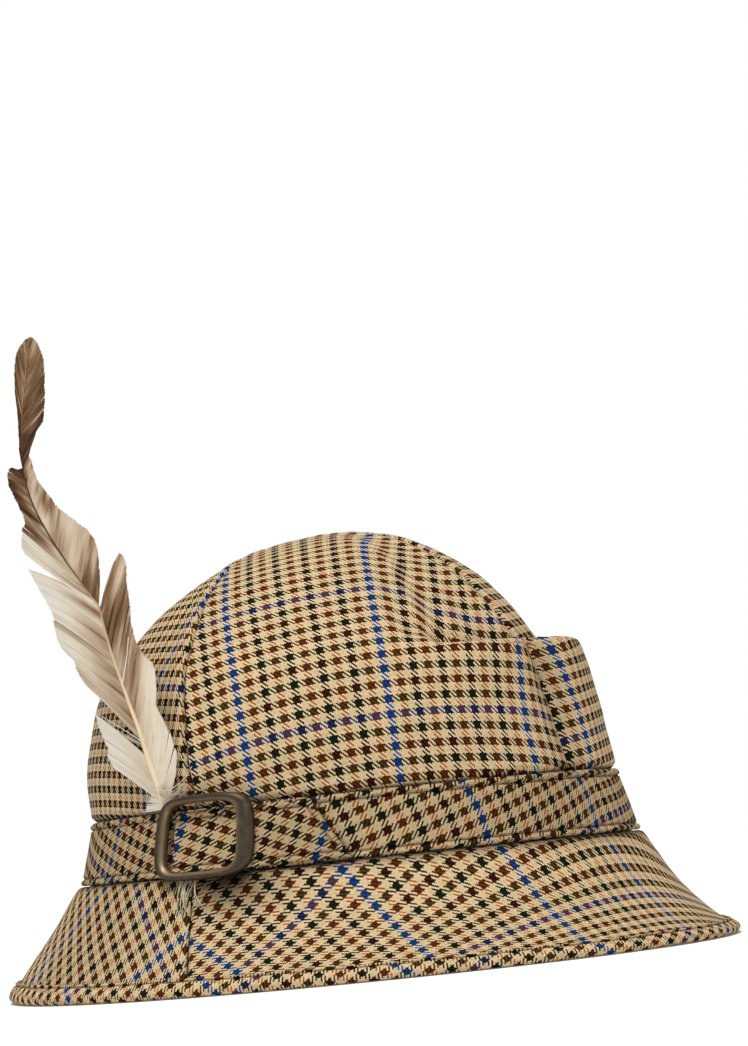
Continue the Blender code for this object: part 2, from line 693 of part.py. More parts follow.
def main():
    for old in list(bpy.data.objects):
        bpy.data.objects.remove(old, do_unlink=True)
    crown_cloth = make_material("crown_cloth", (0.50, 0.37, 0.20), 0.90)
    brim_cloth = make_material("brim_cloth", (0.48, 0.36, 0.20), 0.90)
    band_cloth = make_material("band_cloth", (0.42, 0.31, 0.18), 0.90)
    bronze = make_material("bronze", (0.33, 0.25, 0.16), 0.38, 0.9)
    plume = make_material("plume", (0.62, 0.55, 0.45), 0.80)
    back = 180.0
    parts = [
        build_gore("crown_front_right", 0.0, SIDE_SEAM_ANGLE, FRONT_COLUMNS, 1.3, crown_cloth),
        build_gore("crown_front_left", 0.0, -SIDE_SEAM_ANGLE, FRONT_COLUMNS, 1.3, crown_cloth),
        build_gore("crown_back_right", SIDE_SEAM_ANGLE, back, BACK_COLUMNS, 1.0, crown_cloth),
        build_gore("crown_back_left", -SIDE_SEAM_ANGLE, -back, BACK_COLUMNS, 1.0, crown_cloth),
        build_brim("brim_front", -BRIM_SEAM_ANGLE, BRIM_SEAM_ANGLE, brim_cloth),
        build_brim("brim_back", BRIM_SEAM_ANGLE, 360 - BRIM_SEAM_ANGLE, brim_cloth),
        build_band(band_cloth),
        build_strap_end(band_cloth),
        build_buckle(bronze),
    ]
    parts += build_feather(plume)
    hat = bpy.data.objects.new("trilby", None)
    bpy.context.scene.collection.objects.link(hat)
    for part in parts:
        part.parent = hat


main()
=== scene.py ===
import math

import bmesh
import bpy
import numpy as np
from mathutils import Matrix, Vector, noise


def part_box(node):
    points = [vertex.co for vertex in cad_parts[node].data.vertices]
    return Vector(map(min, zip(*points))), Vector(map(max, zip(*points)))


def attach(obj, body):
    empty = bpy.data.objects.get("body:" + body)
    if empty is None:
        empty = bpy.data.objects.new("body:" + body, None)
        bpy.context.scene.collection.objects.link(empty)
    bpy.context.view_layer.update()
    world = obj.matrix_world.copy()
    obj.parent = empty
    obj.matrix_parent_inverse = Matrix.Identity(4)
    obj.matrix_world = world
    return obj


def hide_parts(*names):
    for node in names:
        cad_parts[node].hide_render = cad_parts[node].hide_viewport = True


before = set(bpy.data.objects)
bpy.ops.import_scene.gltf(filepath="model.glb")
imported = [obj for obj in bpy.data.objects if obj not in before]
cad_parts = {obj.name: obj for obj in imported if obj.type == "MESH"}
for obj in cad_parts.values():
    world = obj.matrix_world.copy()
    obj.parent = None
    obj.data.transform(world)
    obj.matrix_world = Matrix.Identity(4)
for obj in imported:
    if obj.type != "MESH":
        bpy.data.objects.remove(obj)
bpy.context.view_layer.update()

# Sizes are in metres. Angles go round the hat in degrees, from the front to the wearer's right.
bandLow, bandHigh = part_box("hat_band")
hat = {
    "halfLength": 0.1038,   # the seam line between crown and brim, front to back
    "halfWidth": 0.0906,    # and side to side
    "frontTaper": 0.022,    # how much narrower than an oval it is beside the front
    "gap": 0.0003,
    "centreY": (bandLow.y + bandHigh.y) / 2,
    "seamHeight": bandLow.z - 0.0003,
    "bandHeight": bandHigh.z - bandLow.z,
    "bandCloth": 0.0018,
    "bandClearance": 0.0005,
    "bandShare": 0.965,     # the line round the band's middle over the seam line
    "check": 0.00497,       # one dark and one pale stripe of the cloth
}
hat["meanRadius"] = (hat["halfLength"] + hat["halfWidth"]) / 2


# Reading tables

def mix(first, second, share):
    return first + (second - first) * share


def smooth(start, end, value):
    share = np.clip((value - start) / (end - start), 0, 1)
    return share * share * (3 - 2 * share)


def bell(distance, width):
    return np.exp(-(distance / width) ** 2)


def spline(knots, values, at):
    # smooth curve through the values, of which there may be a row for each knot
    knots = np.asarray(knots, float)
    values = np.asarray(values, float)
    if values.ndim == 1:
        values = values[:, None]
    last = len(knots) - 1
    at = np.clip(np.asarray(at, float), knots[0], knots[-1])
    i = np.clip(np.searchsorted(knots, at, side="right") - 1, 0, last - 1)
    low = np.maximum(np.arange(last + 1) - 1, 0)
    high = np.minimum(np.arange(last + 1) + 1, last)
    slopes = (values[high] - values[low]) / (knots[high] - knots[low])[:, None]
    span = knots[i + 1] - knots[i]
    t = (at - knots[i]) / span
    place = np.arange(at.size).reshape(at.shape) if values.shape[1] > 1 else np.zeros(at.shape, int)
    start = (2 * t ** 3 - 3 * t ** 2 + 1) * values[i, place]
    start += (t ** 3 - 2 * t ** 2 + t) * span * slopes[i, place]
    end = (3 * t ** 2 - 2 * t ** 3) * values[i + 1, place]
    return start + end + (t ** 3 - t ** 2) * span * slopes[i + 1, place]


def eased(knots, values, at):
    # steps from value to value without overshooting
    knots = np.asarray(knots, float)
    values = np.asarray(values, float)
    i = np.clip(np.searchsorted(knots, at, side="right") - 1, 0, len(knots) - 2)
    return mix(values[i], values[i + 1], smooth(knots[i], knots[i + 1], at))


def column(table, place):
    return [row[place] for row in table]


def ripple(points, size, seed):
    # soft unevenness of hand-shaped cloth, from -1 to 1 at each point
    shift = Vector((seed * 7.1, seed * 3.3, seed * 5.7))
    flat = points.reshape(-1, 3)
    values = [noise.noise(Vector(p) / size + shift) for p in flat]
    return np.array(values).reshape(points.shape[:-1])


def waves(points, rows):
    # several ripples at once: height, size and seed of each
    return sum(height * ripple(points, size, seed) for height, size, seed in rows)


def unit(vectors):
    return vectors / np.maximum(np.linalg.norm(vectors, axis=-1, keepdims=True), 1e-12)


def arc(angle, radius):
    # how far an angle reaches along a circle
    return np.radians(angle) * radius


def inSteps(places, steps):
    # rows from place to place, in so many steps each
    runs = [np.linspace(start, end, count + 1)[:-1] for start, end, count in zip(places, places[1:], steps)]
    return np.concatenate(runs + [places[-1:]])


# Shaders: a wire is one socket's output, and Python's operators on it add Math nodes

class Wire:
    def __init__(self, tree, socket):
        self.tree = tree
        self.socket = socket

    def add(self, kind, settings=None, inputs=None, out=0):
        node = self.tree.nodes.new(kind)
        for key, value in (settings or {}).items():
            if key == "stops":
                setStops(node.color_ramp, value)
            else:
                setattr(node, key, value)
        for key, value in (inputs or {}).items():
            if isinstance(value, Wire):
                self.tree.links.new(value.socket, node.inputs[key])
            else:
                node.inputs[key].default_value = value
        return Wire(self.tree, node.outputs[out])

    def calc(self, operation, first, second=0.0):
        return self.add("ShaderNodeMath", {"operation": operation}, {0: first, 1: second})

    def __add__(self, other):
        return self.calc("ADD", self, other)

    def __radd__(self, other):
        return self.calc("ADD", other, self)

    def __sub__(self, other):
        return self.calc("SUBTRACT", self, other)

    def __rsub__(self, other):
        return self.calc("SUBTRACT", other, self)

    def __mul__(self, other):
        return self.calc("MULTIPLY", self, other)

    def __rmul__(self, other):
        return self.calc("MULTIPLY", other, self)

    def __truediv__(self, other):
        return self.calc("DIVIDE", self, other)

    def __rtruediv__(self, other):
        return self.calc("DIVIDE", other, self)

    def __mod__(self, other):
        return self.calc("FLOORED_MODULO", self, other)

    def __rmod__(self, other):
        return self.calc("FLOORED_MODULO", other, self)

    def __lt__(self, other):
        return self.calc("LESS_THAN", self, other)

    def __gt__(self, other):
        return self.calc("GREATER_THAN", self, other)

    def whole(self):
        return self.calc("FLOOR", self)

    def part(self):
        return self.calc("FRACT", self)

    def colours(self, first, second):
        # this wire is the share of the second colour
        settings = {"data_type": "RGBA", "clamp_factor": True}
        return self.add("ShaderNodeMix", settings, {0: self, 6: first, 7: second}, out=2)

    def shade(self, tint):
        settings = {"data_type": "RGBA", "blend_type": "MULTIPLY"}
        return self.add("ShaderNodeMix", settings, {0: 1.0, 6: self, 7: tint}, out=2)

    def noise(self, scale, detail=1.0):
        # soft noise, with this wire as its place
        return self.add("ShaderNodeTexNoise", inputs={"Vector": self, "Scale": scale, "Detail": detail})

    def split(self):
        outputs = self.add("ShaderNodeSeparateXYZ", inputs={0: self}).socket.node.outputs
        return [Wire(self.tree, outputs[i]) for i in range(3)]


def setStops(ramp, stops):
    while len(ramp.elements) > 1:
        ramp.elements.remove(ramp.elements[-1])
    for i, (place, tint) in enumerate(stops):
        element = ramp.elements[0] if i == 0 else ramp.elements.new(place)
        element.position = place
        element.color = tint


def colour(red, green, blue):
    return (red, green, blue, 1.0)


def startMaterial(name, roughness, metallic=0.0, specular=0.5):
    material = bpy.data.materials.new(name)
    material.use_nodes = True
    tree = material.node_tree
    shader = tree.nodes["Principled BSDF"]
    shader.inputs["Roughness"].default_value = roughness
    shader.inputs["Metallic"].default_value = metallic
    shader.inputs["Specular IOR Level"].default_value = specular
    return material, Wire(tree, shader.outputs[0]), shader


def plug(wire, shader, socket):
    wire.tree.links.new(wire.socket, shader.inputs[socket])


# The cloth: a gun-club check woven thread by thread, in a two-and-two twill

wool = {
    "threads": 12.0,        # in one check
    "darkThreads": 6.0,
    "blueEvery": 10.0,      # checks from one blue line to the next
    "pale": colour(0.70, 0.580, 0.345),
    "paleWeft": colour(0.75, 0.630, 0.410),
    "palePink": colour(0.79, 0.565, 0.375),
    "black": colour(0.011, 0.007, 0.004),
    "ochre": colour(0.32, 0.112, 0.020),
    "ochreDeep": colour(0.125, 0.040, 0.008),  # where it crosses another dark thread
    "green": colour(0.008, 0.019, 0.010),
    "maroon": colour(0.058, 0.012, 0.004),
    "blue": colour(0.006, 0.060, 0.26),
    "blueWeft": colour(0.014, 0.032, 0.16),
    "navy": colour(0.010, 0.026, 0.105),  # the weft's dark stripes where a blue line crosses them
    "navyShare": 0.8,
    "crossed": 1.12,        # how much paler a pale thread looks between dark ones
    "pink": 0.34,           # share of pink in the pale threads, and how it changes
    "pinkByThread": 0.5,
    "pinkByPatch": 2.6,
    "unevenness": 0.26,     # of tone, from thread to thread
    "patch": 0.24,          # and from patch to patch, small and broad
    "cloud": 0.16,
    "patchScale": 420.0,
    "cloudScale": 24.0,
    "wander": 0.40,         # how far a thread strays, in threads
    "wanderScale": 900.0,
    # painted shade between two threads, at each thread's rounded edge
    "gapShade": 0.30,       # how dark it is between two threads
    "fuzz": 0.6,
    "fuzzScale": 2600.0,
    "threadRelief": 0.00010,
    "reliefStrength": 0.55,
    "roughness": 0.92,
    "specular": 0.03,
    # the same wool for each piece; the band's copy is much darker, which is painted shade
    "crownTint": colour(1.0, 0.967, 0.895),
    "brimTint": colour(0.97, 0.935, 0.855),
    "bandShadedTint": colour(0.74, 0.70, 0.62),
}


def weaveCloth(name, tint):
    material, wire, shader = startMaterial(name, wool["roughness"], specular=wool["specular"])
    place = wire.add("ShaderNodeUVMap", {"uv_map": "cloth"})
    body = wire.add("ShaderNodeTexCoord", out=3)
    across, up, _ = place.split()
    wander = (body.noise(wool["wanderScale"]) - 0.5) * wool["wander"]
    threadAcross = across * wool["threads"] + wander
    threadUp = up * wool["threads"] + wander
    warp = threadAcross.whole()
    weft = threadUp.whole()
    warpOnTop = ((warp + weft) % 4.0) < 2.0
    warpDark = (warp % wool["threads"]) < wool["darkThreads"]
    weftDark = (weft % wool["threads"]) < wool["darkThreads"]
    checkAcross = (warp / wool["threads"]).whole()
    checkUp = (weft / wool["threads"]).whole()
    warpOdd = (checkAcross % 2.0) < 1.0
    weftOdd = (checkUp % 2.0) < 1.0
    warpBlue = (checkAcross % wool["blueEvery"]) < 1.0
    weftBlue = (checkUp % wool["blueEvery"]) < 1.0
    ochre = weftDark.colours(wool["ochre"], wool["ochreDeep"])
    warpStripe = warpBlue.colours(warpOdd.colours(ochre, wool["black"]), wool["blue"])
    weftStripe = weftBlue.colours(weftOdd.colours(wool["green"], wool["maroon"]), wool["blueWeft"])
    weftStripe = (warpDark * warpBlue * wool["navyShare"]).colours(weftStripe, wool["navy"])
    # the slub is a random value of each crossing's own
    crossing = {0: warp * 0.37 + weft * 0.011, 1: weft * 0.53 + warp * 0.013}
    crossing = wire.add("ShaderNodeCombineXYZ", inputs=crossing)
    slub = wire.add("ShaderNodeTexWhiteNoise", {"noise_dimensions": "2D"}, {"Vector": crossing}) - 0.5
    patch = body.noise(wool["patchScale"]) - 0.5
    cloud = body.noise(wool["cloudScale"], 3.0) - 0.5
    pink = slub * wool["pinkByThread"] + patch * wool["pinkByPatch"] + wool["pink"]
    warpColour = warpDark.colours(pink.colours(wool["pale"], wool["palePink"]), warpStripe)
    weftColour = weftDark.colours(pink.colours(wool["paleWeft"], wool["palePink"]), weftStripe)
    warpRound = threadAcross.part() * 2.0 - 1.0
    weftRound = threadUp.part() * 2.0 - 1.0
    height = 1.0 - (warpOnTop * warpRound * warpRound + (1.0 - warpOnTop) * weftRound * weftRound)
    crossed = (warpDark - weftDark) * (warpDark - weftDark) * (wool["crossed"] - 1.0)
    tone = 1.0 - wool["unevenness"] / 2 + slub * wool["unevenness"] + crossed
    tone = tone + cloud * wool["cloud"] + patch * wool["patch"]
    # painted shade: each piece's seams, laps, creases and shadows darken the cloth's colour here
    paintedShade = wire.add("ShaderNodeAttribute", {"attribute_name": "paintedShade"}, out=2)
    # painted shade between the threads and from the pieces darkens the tone
    tone = tone * (1.0 - wool["gapShade"] * (1.0 - height)) * (1.0 - paintedShade)
    cloth = warpOnTop.colours(weftColour, warpColour)
    cloth = cloth.shade(wire.add("ShaderNodeCombineColor", inputs={0: tone, 1: tone, 2: tone})).shade(tint)
    plug(cloth, shader, "Base Color")
    height = height + body.noise(wool["fuzzScale"], 2.0) * wool["fuzz"]
    bump = wire.add("ShaderNodeBump", inputs={"Strength": wool["reliefStrength"],
                                              "Distance": wool["threadRelief"], "Height": height})
    plug(bump, shader, "Normal")
    return material


# How each piece is cut: the cloth's own coordinates, in checks, from the place on the piece.
# Terms: start, across, up, across squared, across by up, up squared.
cuts = {
    "crown_front_right": {"u": (209.17, 1.0221, 0.0645, -0.00068, -0.00347, -0.00379),
                          "v": (205.75, -0.0298, 0.9594, 0.00367, -0.00148)},
    "crown_front_left": {"u": (202.77, 1.0), "v": (207.01, 0.0, 1.0, 0.0015)},
    "crown_back_right": {"u": (209.05, 0.6, -0.4776, 0.04, 0.0, 0.042), "v": (200.85, 0.0, 1.0, 0.0015),
                         "span": (4, 1000), "beyond": (0.92, 0.0)},
    "crown_back_left": {"u": (206.0, 1.0), "v": (207.0, 0.0, 1.0, 0.0015)},
    "brim_front": {"u": (210.06, 1.1665, 0.2794, 0.00304, 0.01106, 0.01264),
                   "v": (224.4, 0.0002, 0.9326, 0.00273, -0.00688, -0.01237),
                   "span": (-30, 9), "beyond": (1.18, 0.06)},
    "brim_back": {"u": (199.27, 1.0966, -0.34605, -0.0075957, 0.022057, -0.00099676),
                  "v": (210.51, -0.093424, 1.2314, 0.0023149, -0.015986, 0.016558)},
    "band_front": {"u": (200.44, -1.2511, 0.1544, -0.01167, 0.00913, -0.0674),
                   "v": (199.74, -0.3467, 0.9404, -0.00057, 0.0011, 0.01219),
                   "span": (-22, 1), "beyond": (-0.95, -0.13)},
    "band_back": {"u": (194.0, -0.95, 0.31), "v": (201.55, 0.31, 0.95)},
    "binding": {"u": (206.38, 0.80, -0.7071), "v": (199.64, 0.68, 0.7071)},
    "strap": {"u": (172.66, -1.7111, 0.7425, -0.01579, 0.00949, -0.04048),
              "v": (204.96, 0.5393, 0.7721, 0.00387, -0.00765, -0.0037),
              "span": (-40, -16), "beyond": (-1.0, 0.3)},
}


def layCloth(across, up, cut):
    a, b = across / hat["check"], up / hat["check"]
    near = np.clip(a, *cut.get("span", (-1000, 1000)))
    terms = (1.0, near, b, near * near, near * b, b * b)
    far = cut.get("beyond", (0, 0))
    placed = [sum(share * term for share, term in zip(cut[key], terms)) for key in "uv"]
    return np.stack([placed[k] + far[k] * (a - near) for k in range(2)], -1)


# Meshes: a piece is a grid of points, with the cloth's own coordinates at each

def addObject(name, data):
    made = bpy.data.objects.new(name, data)
    bpy.context.scene.collection.objects.link(made)
    return made


def makePiece(name, verts, faces, material, slot, replaced=(), sharp=60.0):
    mesh = bpy.data.meshes.new(name)
    mesh.from_pydata([tuple(v) for v in verts], [], [tuple(f) for f in faces])
    mesh.update()
    mesh.shade_smooth()
    mesh.set_sharp_from_angle(angle=math.radians(sharp))
    mesh.materials.append(material)
    piece = addObject(name, mesh)
    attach(piece, "root")
    if replaced:
        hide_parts(*replaced)
    return piece


def setCloth(mesh, cornerCloth):
    layer = mesh.uv_layers.new(name="cloth")
    layer.data.foreach_set("uv", np.asarray(cornerCloth, np.float32).ravel())


def paint(piece, name, values):
    # a share at each point, which the piece's material reads
    store = piece.data.attributes.new(name, "FLOAT", "POINT")
    store.data.foreach_set("value", np.clip(values, 0, 1).astype(np.float32).ravel())


def faceOut(mesh):
    bm = bmesh.new()
    bm.from_mesh(mesh)
    bmesh.ops.recalc_face_normals(bm, faces=bm.faces)
    bm.to_mesh(mesh)
    bm.free()


def loft(name, points, cloth, material, slot, replaced=(), ring=False, sharp=60.0):
    # points: sections' points by section by 3; each section is a closed loop.
    # A ring joins its last section to its first, and its cloth has one section more.
    count, sections = points.shape[:2]
    rows = np.arange(count)
    spans = np.arange(sections if ring else sections - 1)
    r, c = np.meshgrid(rows, spans, indexing="ij")
    r, c = r.ravel(), c.ravel()
    corners = [(r, c), ((r + 1) % count, c), ((r + 1) % count, c + 1), (r, c + 1)]
    faces = np.stack([a * sections + b % sections for a, b in corners], 1)
    uvs = np.stack([cloth[a, b] for a, b in corners], 1)
    if not ring:
        low = np.arange(count // 2 - 1)
        for end in (0, sections - 1):
            cap = [(low, end), (low + 1, end), (count - 2 - low, end), (count - 1 - low, end)]
            faces = np.concatenate([faces, np.stack([a * sections + b for a, b in cap], 1)])
            uvs = np.concatenate([uvs, np.stack([cloth[a, b] for a, b in cap], 1)])
    piece = makePiece(name, points.reshape(-1, 3), faces, material, slot, replaced, sharp)
    setCloth(piece.data, uvs)
    faceOut(piece.data)
    return piece


def buildWall(name, outer, inner, cloth, paintedShade, material, slot, replaced, ring=False, sharp=60.0):
    # painted shade: how much darker each point of the outer face is painted, in seams and under laps
    points = np.concatenate([outer, inner[::-1]])
    shade = np.concatenate([paintedShade, 0 * paintedShade])
    if ring:
        points, shade = points[:, :-1], shade[:, :-1]
    piece = loft(name, points, np.concatenate([cloth, cloth[::-1]]), material, slot, [replaced], ring, sharp)
    paint(piece, "paintedShade", shade)


def outward(grid):
    # unit normals of a grid of points that wraps the hat, facing away from its middle
    normal = unit(np.cross(np.gradient(grid, axis=0), np.gradient(grid, axis=1)))
    middle = np.array([0.0, hat["centreY"], 0.0])
    return -normal if np.sum(normal * (grid - middle)) < 0 else normal


def headPoint(angle, reach, height):
    turn = np.radians(angle)
    reach = reach * headTaper(turn)
    return np.stack([-hat["halfWidth"] * reach * np.sin(turn),
                     hat["centreY"] - hat["halfLength"] * reach * np.cos(turn),
                     height + 0 * turn], -1)


def headTaper(turn):
    return 1 - hat["frontTaper"] * np.sin(2 * turn) ** 2 * smooth(-0.1, 0.3, np.cos(turn))


def roundHat(angle):
    # distance round the head line from the front
    turn = np.linspace(-math.pi, math.pi, 4 * 360 + 1)
    pace = np.hypot(hat["halfWidth"] * np.cos(turn), hat["halfLength"] * np.sin(turn)) * hat["bandShare"]
    length = np.concatenate([[0], np.cumsum((pace[1:] + pace[:-1]) / 2 * np.diff(turn))])
    return np.interp(np.radians(angle), turn, length - length[len(turn) // 2])


# Crown: four gores, whose front is pressed in behind a rim

crown = {
    "height": 0.1140,
    "cloth": 0.0020,
    "columns": 58,
    "rows": (6, 35, 45, 45),  # under the band, on the wall, over the crease, on the top
    "topSetback": 0.0260,   # from the highest point back to where the gores meet
    "setbackPower": 1.5,
    "setbackFrom": 0.5,
    "setbackTo": 0.3,
    "sideSeam": 86.4,
    "frontMiddle": 46.0,    # the line up the middle of a front gore, and of a back one
    "backMiddle": 136.0,
    "topHole": 0.0004,
    "foldRise": 0.0665,
    "foldDepth": 0.0085,
    "foldCloth": 0.0220,    # how much cloth the crease hides
    "foldLift": 0.0025,
    "foldEase": 0.0070,
    "inset": 0.188,
    "insetEase": 0.62,
    "lean": 0.0026,
    "leanEnd": 0.35,
    "rimPush": 0.0026,
    "pushStart": 0.5,
    "centrePull": 0.0110,
    "pullWidthRight": 0.0085,
    "pullWidthLeft": 0.0080,
    "bandRelease": 0.0018,
    "bandEase": 0.0040,     # above the band, until the cloth waves freely
    "bumps": ((0.00045, 0.034, 1), (0.00016, 0.012, 2)),
    "seamGroove": 0.0011,
    "seamGrooveWidth": 0.0010,
    "seamRidge": 0.00045,   # the pressed-open seam's turnings under the cloth
    "seamRidgeWidth": 0.0055,
    "ridgeStart": (0.0002, 0.0016),
    "ridgeEnd": (0.8, 1.25),  # over its width
    "seamEnd": 0.02,        # the seams fade where the crown is narrower than this
    "pucker": (0.00028, 0.0045, 3),
    "puckerWidth": 0.006,
    # painted shade: in the seams, just above the band, and beside the drawn-in centre seam
    "seamShade": 0.65,
    "seamShadeWidth": 0.0006,
    "lapShade": 0.70,       # just above the band
    "lapWidth": 0.0014,
    "dipShade": 0.24,       # beside the drawn-in centre seam
    "dipPlace": 0.002,
    "dipWidth": 0.0075,
    "dipEnd": (-0.04, 0.02),  # from the rim, as shares of the way up
    "topCloth": (0.62, 0.95),  # where the cloth is laid flat from the top instead
    "sag": (0.57, 0.43),    # radius of a row of checks, low and high on the wall
    "sagChange": (0.3, 0.6),
    # rise as a share of the height, reach as a share of the seam line
    "outline": ((0.000, 1.000), (0.093, 0.968), (0.186, 0.944), (0.311, 0.949), (0.426, 0.928),
                (0.563, 0.878), (0.650, 0.806), (0.740, 0.710), (0.820, 0.605), (0.905, 0.440),
                (0.960, 0.280), (0.990, 0.130), (1.000, 0.000)),
    # angle, then shares: crease, inset, lean, push
    "front": ((-180, 0.00, 0.00, 0.0, 0.0), (-105, 0.00, 0.00, 0.0, 0.0), (-80, 0.00, 0.35, 0.4, 0.0),
              (-66, 0.45, 0.80, 0.8, 0.0), (-50, 1.00, 1.00, 1.0, 0.2), (-30, 1.00, 0.95, 1.0, 0.6),
              (-12, 1.00, 0.72, 1.0, 1.0), (12, 1.00, 0.60, 1.0, 1.0), (23, 0.85, 0.45, 0.9, 0.8),
              (33, 0.20, 0.20, 0.6, 0.3), (41, 0.00, 0.07, 0.3, 0.0), (60, 0.00, 0.00, 0.0, 0.0),
              (180, 0.00, 0.00, 0.0, 0.0)),
    # height between band and rim, and share of the centre pull
    "centreSeam": ((-0.30, 0.00), (0.00, 0.22), (0.25, 0.36), (0.50, 0.46), (0.75, 0.58), (1.00, 0.70),
                   (1.20, 0.45), (1.45, 0.00)),
}


def traceOutline(steps=40):
    places = np.arange((len(crown["outline"]) - 1) * steps + 1) / steps
    knots = np.arange(len(crown["outline"]))
    reach = spline(knots, column(crown["outline"], 1), places)
    rise = spline(knots, column(crown["outline"], 0), places) * crown["height"]
    lengths = np.hypot(np.diff(reach) * hat["meanRadius"], np.diff(rise))
    along = np.concatenate([[0.0], np.cumsum(lengths)])
    return along[-1], along / along[-1], reach, rise


outlineLength, outlineAlong, outlineReach, outlineRise = traceOutline()


def domeAt(along):
    along = np.clip(along, 0, 1)
    return np.interp(along, outlineAlong, outlineReach), np.interp(along, outlineAlong, outlineRise)


def alongAt(rise):
    return float(np.interp(rise, outlineRise, outlineAlong))


bandTopAlong = alongAt(hat["bandHeight"])
rimAlong = alongAt(crown["foldRise"])
foldEndAlong = rimAlong + crown["foldCloth"] / outlineLength
foldEaseAlong = crown["foldEase"] / outlineLength
shelfAlong = alongAt(crown["foldRise"] + crown["foldLift"])


def plainMeridian(along, inset, lean, push):
    reach, rise = domeAt(along)
    above = smooth(rimAlong - foldEaseAlong, foldEndAlong, along)
    out = push * smooth(mix(bandTopAlong, rimAlong, crown["pushStart"]), rimAlong, along)
    out = out - lean * smooth(bandTopAlong, mix(bandTopAlong, rimAlong, crown["leanEnd"]), along)
    less = inset * (1 - crown["insetEase"] * np.clip((along - rimAlong) / (1 - rimAlong), 0, 1))
    return reach * (1 - less * above) + out * (1 - above) / hat["meanRadius"], rise


def upperMeridian(along, inset):
    share = (along - foldEndAlong) / (1 - foldEndAlong)
    reach, rise = domeAt(mix(shelfAlong, 1.0, share))
    return reach * (1 - inset * (1 - crown["insetEase"] * np.clip(share, 0, 1))), rise


def foldedMeridian(along, inset, lean, push):
    whole = np.ones_like(along)
    knots = [rimAlong - 2 * foldEaseAlong, rimAlong - foldEaseAlong, rimAlong,
             mix(rimAlong, foldEndAlong, 0.5), foldEndAlong,
             foldEndAlong + foldEaseAlong, foldEndAlong + 2 * foldEaseAlong]
    rim = (domeAt(rimAlong)[0] * whole + (push - lean) / hat["meanRadius"], crown["foldRise"] * whole)
    shelf = upperMeridian(foldEndAlong * whole, inset)
    valley = (mix(rim[0], shelf[0], 0.5), (crown["foldRise"] - crown["foldDepth"]) * whole)
    line = [plainMeridian(knot * whole, inset, lean, push) for knot in knots[:2]]
    line += [rim, valley, shelf] + [upperMeridian(knot * whole, inset) for knot in knots[5:]]
    below = plainMeridian(along, inset, lean, push)
    above = upperMeridian(along, inset)
    found = []
    for k in range(2):
        crease = spline(knots, [point[k] for point in line], along)
        found.append(np.where(along <= knots[1], below[k], np.where(along >= knots[5], above[k], crease)))
    return found


def crownSurface(angle, along):
    angles = column(crown["front"], 0)
    fold, inset, lean, push = [eased(angles, column(crown["front"], k), angle) for k in range(1, 5)]
    inset, lean, push = inset * crown["inset"], lean * crown["lean"], push * crown["rimPush"]
    plain = plainMeridian(along, inset, lean, push)
    folded = foldedMeridian(along, inset, lean, push)
    hold = 1 - smooth(hat["bandHeight"] + hat["gap"], hat["bandHeight"] + crown["bandRelease"], plain[1])
    reach = mix(plain[0], folded[0], fold)
    reach = reach - (hat["bandCloth"] + hat["bandClearance"]) / hat["meanRadius"] * hold
    rise = mix(plain[1], folded[1], fold)
    height = (along - bandTopAlong) / (rimAlong - bandTopAlong)
    rows, shares = [column(crown["centreSeam"], k) for k in range(2)]
    pull = crown["centrePull"] * spline(rows, shares, height)
    width = np.where(angle > 0, crown["pullWidthRight"], crown["pullWidthLeft"])
    pull = pull * bell(np.radians(angle) * hat["halfWidth"], width)
    reach = np.maximum(reach - pull / hat["meanRadius"], 0)
    return headPoint(angle, reach, hat["seamHeight"] + hat["gap"] + np.maximum(rise, 0))


def goreSpot(angle, ring):
    # where a gore's own line runs: its angle and way up as seen from the highest point
    turn = np.radians(angle)
    shift = crown["topSetback"] / outlineLength * (1 - ring) ** crown["setbackPower"]
    forward = ring * np.cos(turn) - shift
    sideways = ring * np.sin(turn)
    seen = np.degrees(np.arctan2(sideways, forward))
    seen = np.where((angle < 0) & (seen > 0), seen - 360, seen)
    seen = np.where((angle > 0) & (seen < 0), seen + 360, seen)
    blend = smooth(crown["setbackFrom"], crown["setbackTo"], ring)
    return seen, 1 - mix(ring, np.hypot(forward, sideways), blend)


def crownCloth(seen, along, middle, cut):
    # warps run up the gore's middle; rows sag a little towards its seams
    reach = domeAt(along)[0]
    turn = np.radians(middle - seen)
    across = turn * reach * hat["meanRadius"]
    sag = across ** 2 / (2 * mix(*crown["sag"], smooth(*crown["sagChange"], along)))
    up = (along - bandTopAlong) * outlineLength + sag
    fromTop = (1 - along) * outlineLength
    topAcross = fromTop * np.sin(turn)
    topUp = outlineLength * (1 - bandTopAlong) - fromTop * np.cos(turn)
    near = smooth(*crown["topCloth"], along)
    return layCloth(mix(across, topAcross, near), mix(up, topUp, near), cut)


# millimetres from a seam
seamSteps = np.array([0, 0.35, 0.7, 1.05, 1.5, 2.0, 2.6, 3.4, 4.4, 5.6, 7.0, 8.6]) / 1000


def edgePacked(count, width):
    # column places from 0 to 1, crowded at both edges to carry the seams' rolls
    edge = seamSteps / width
    return np.concatenate([edge, np.linspace(edge[-1], 1 - edge[-1], count)[1:-1], 1 - edge[::-1]])


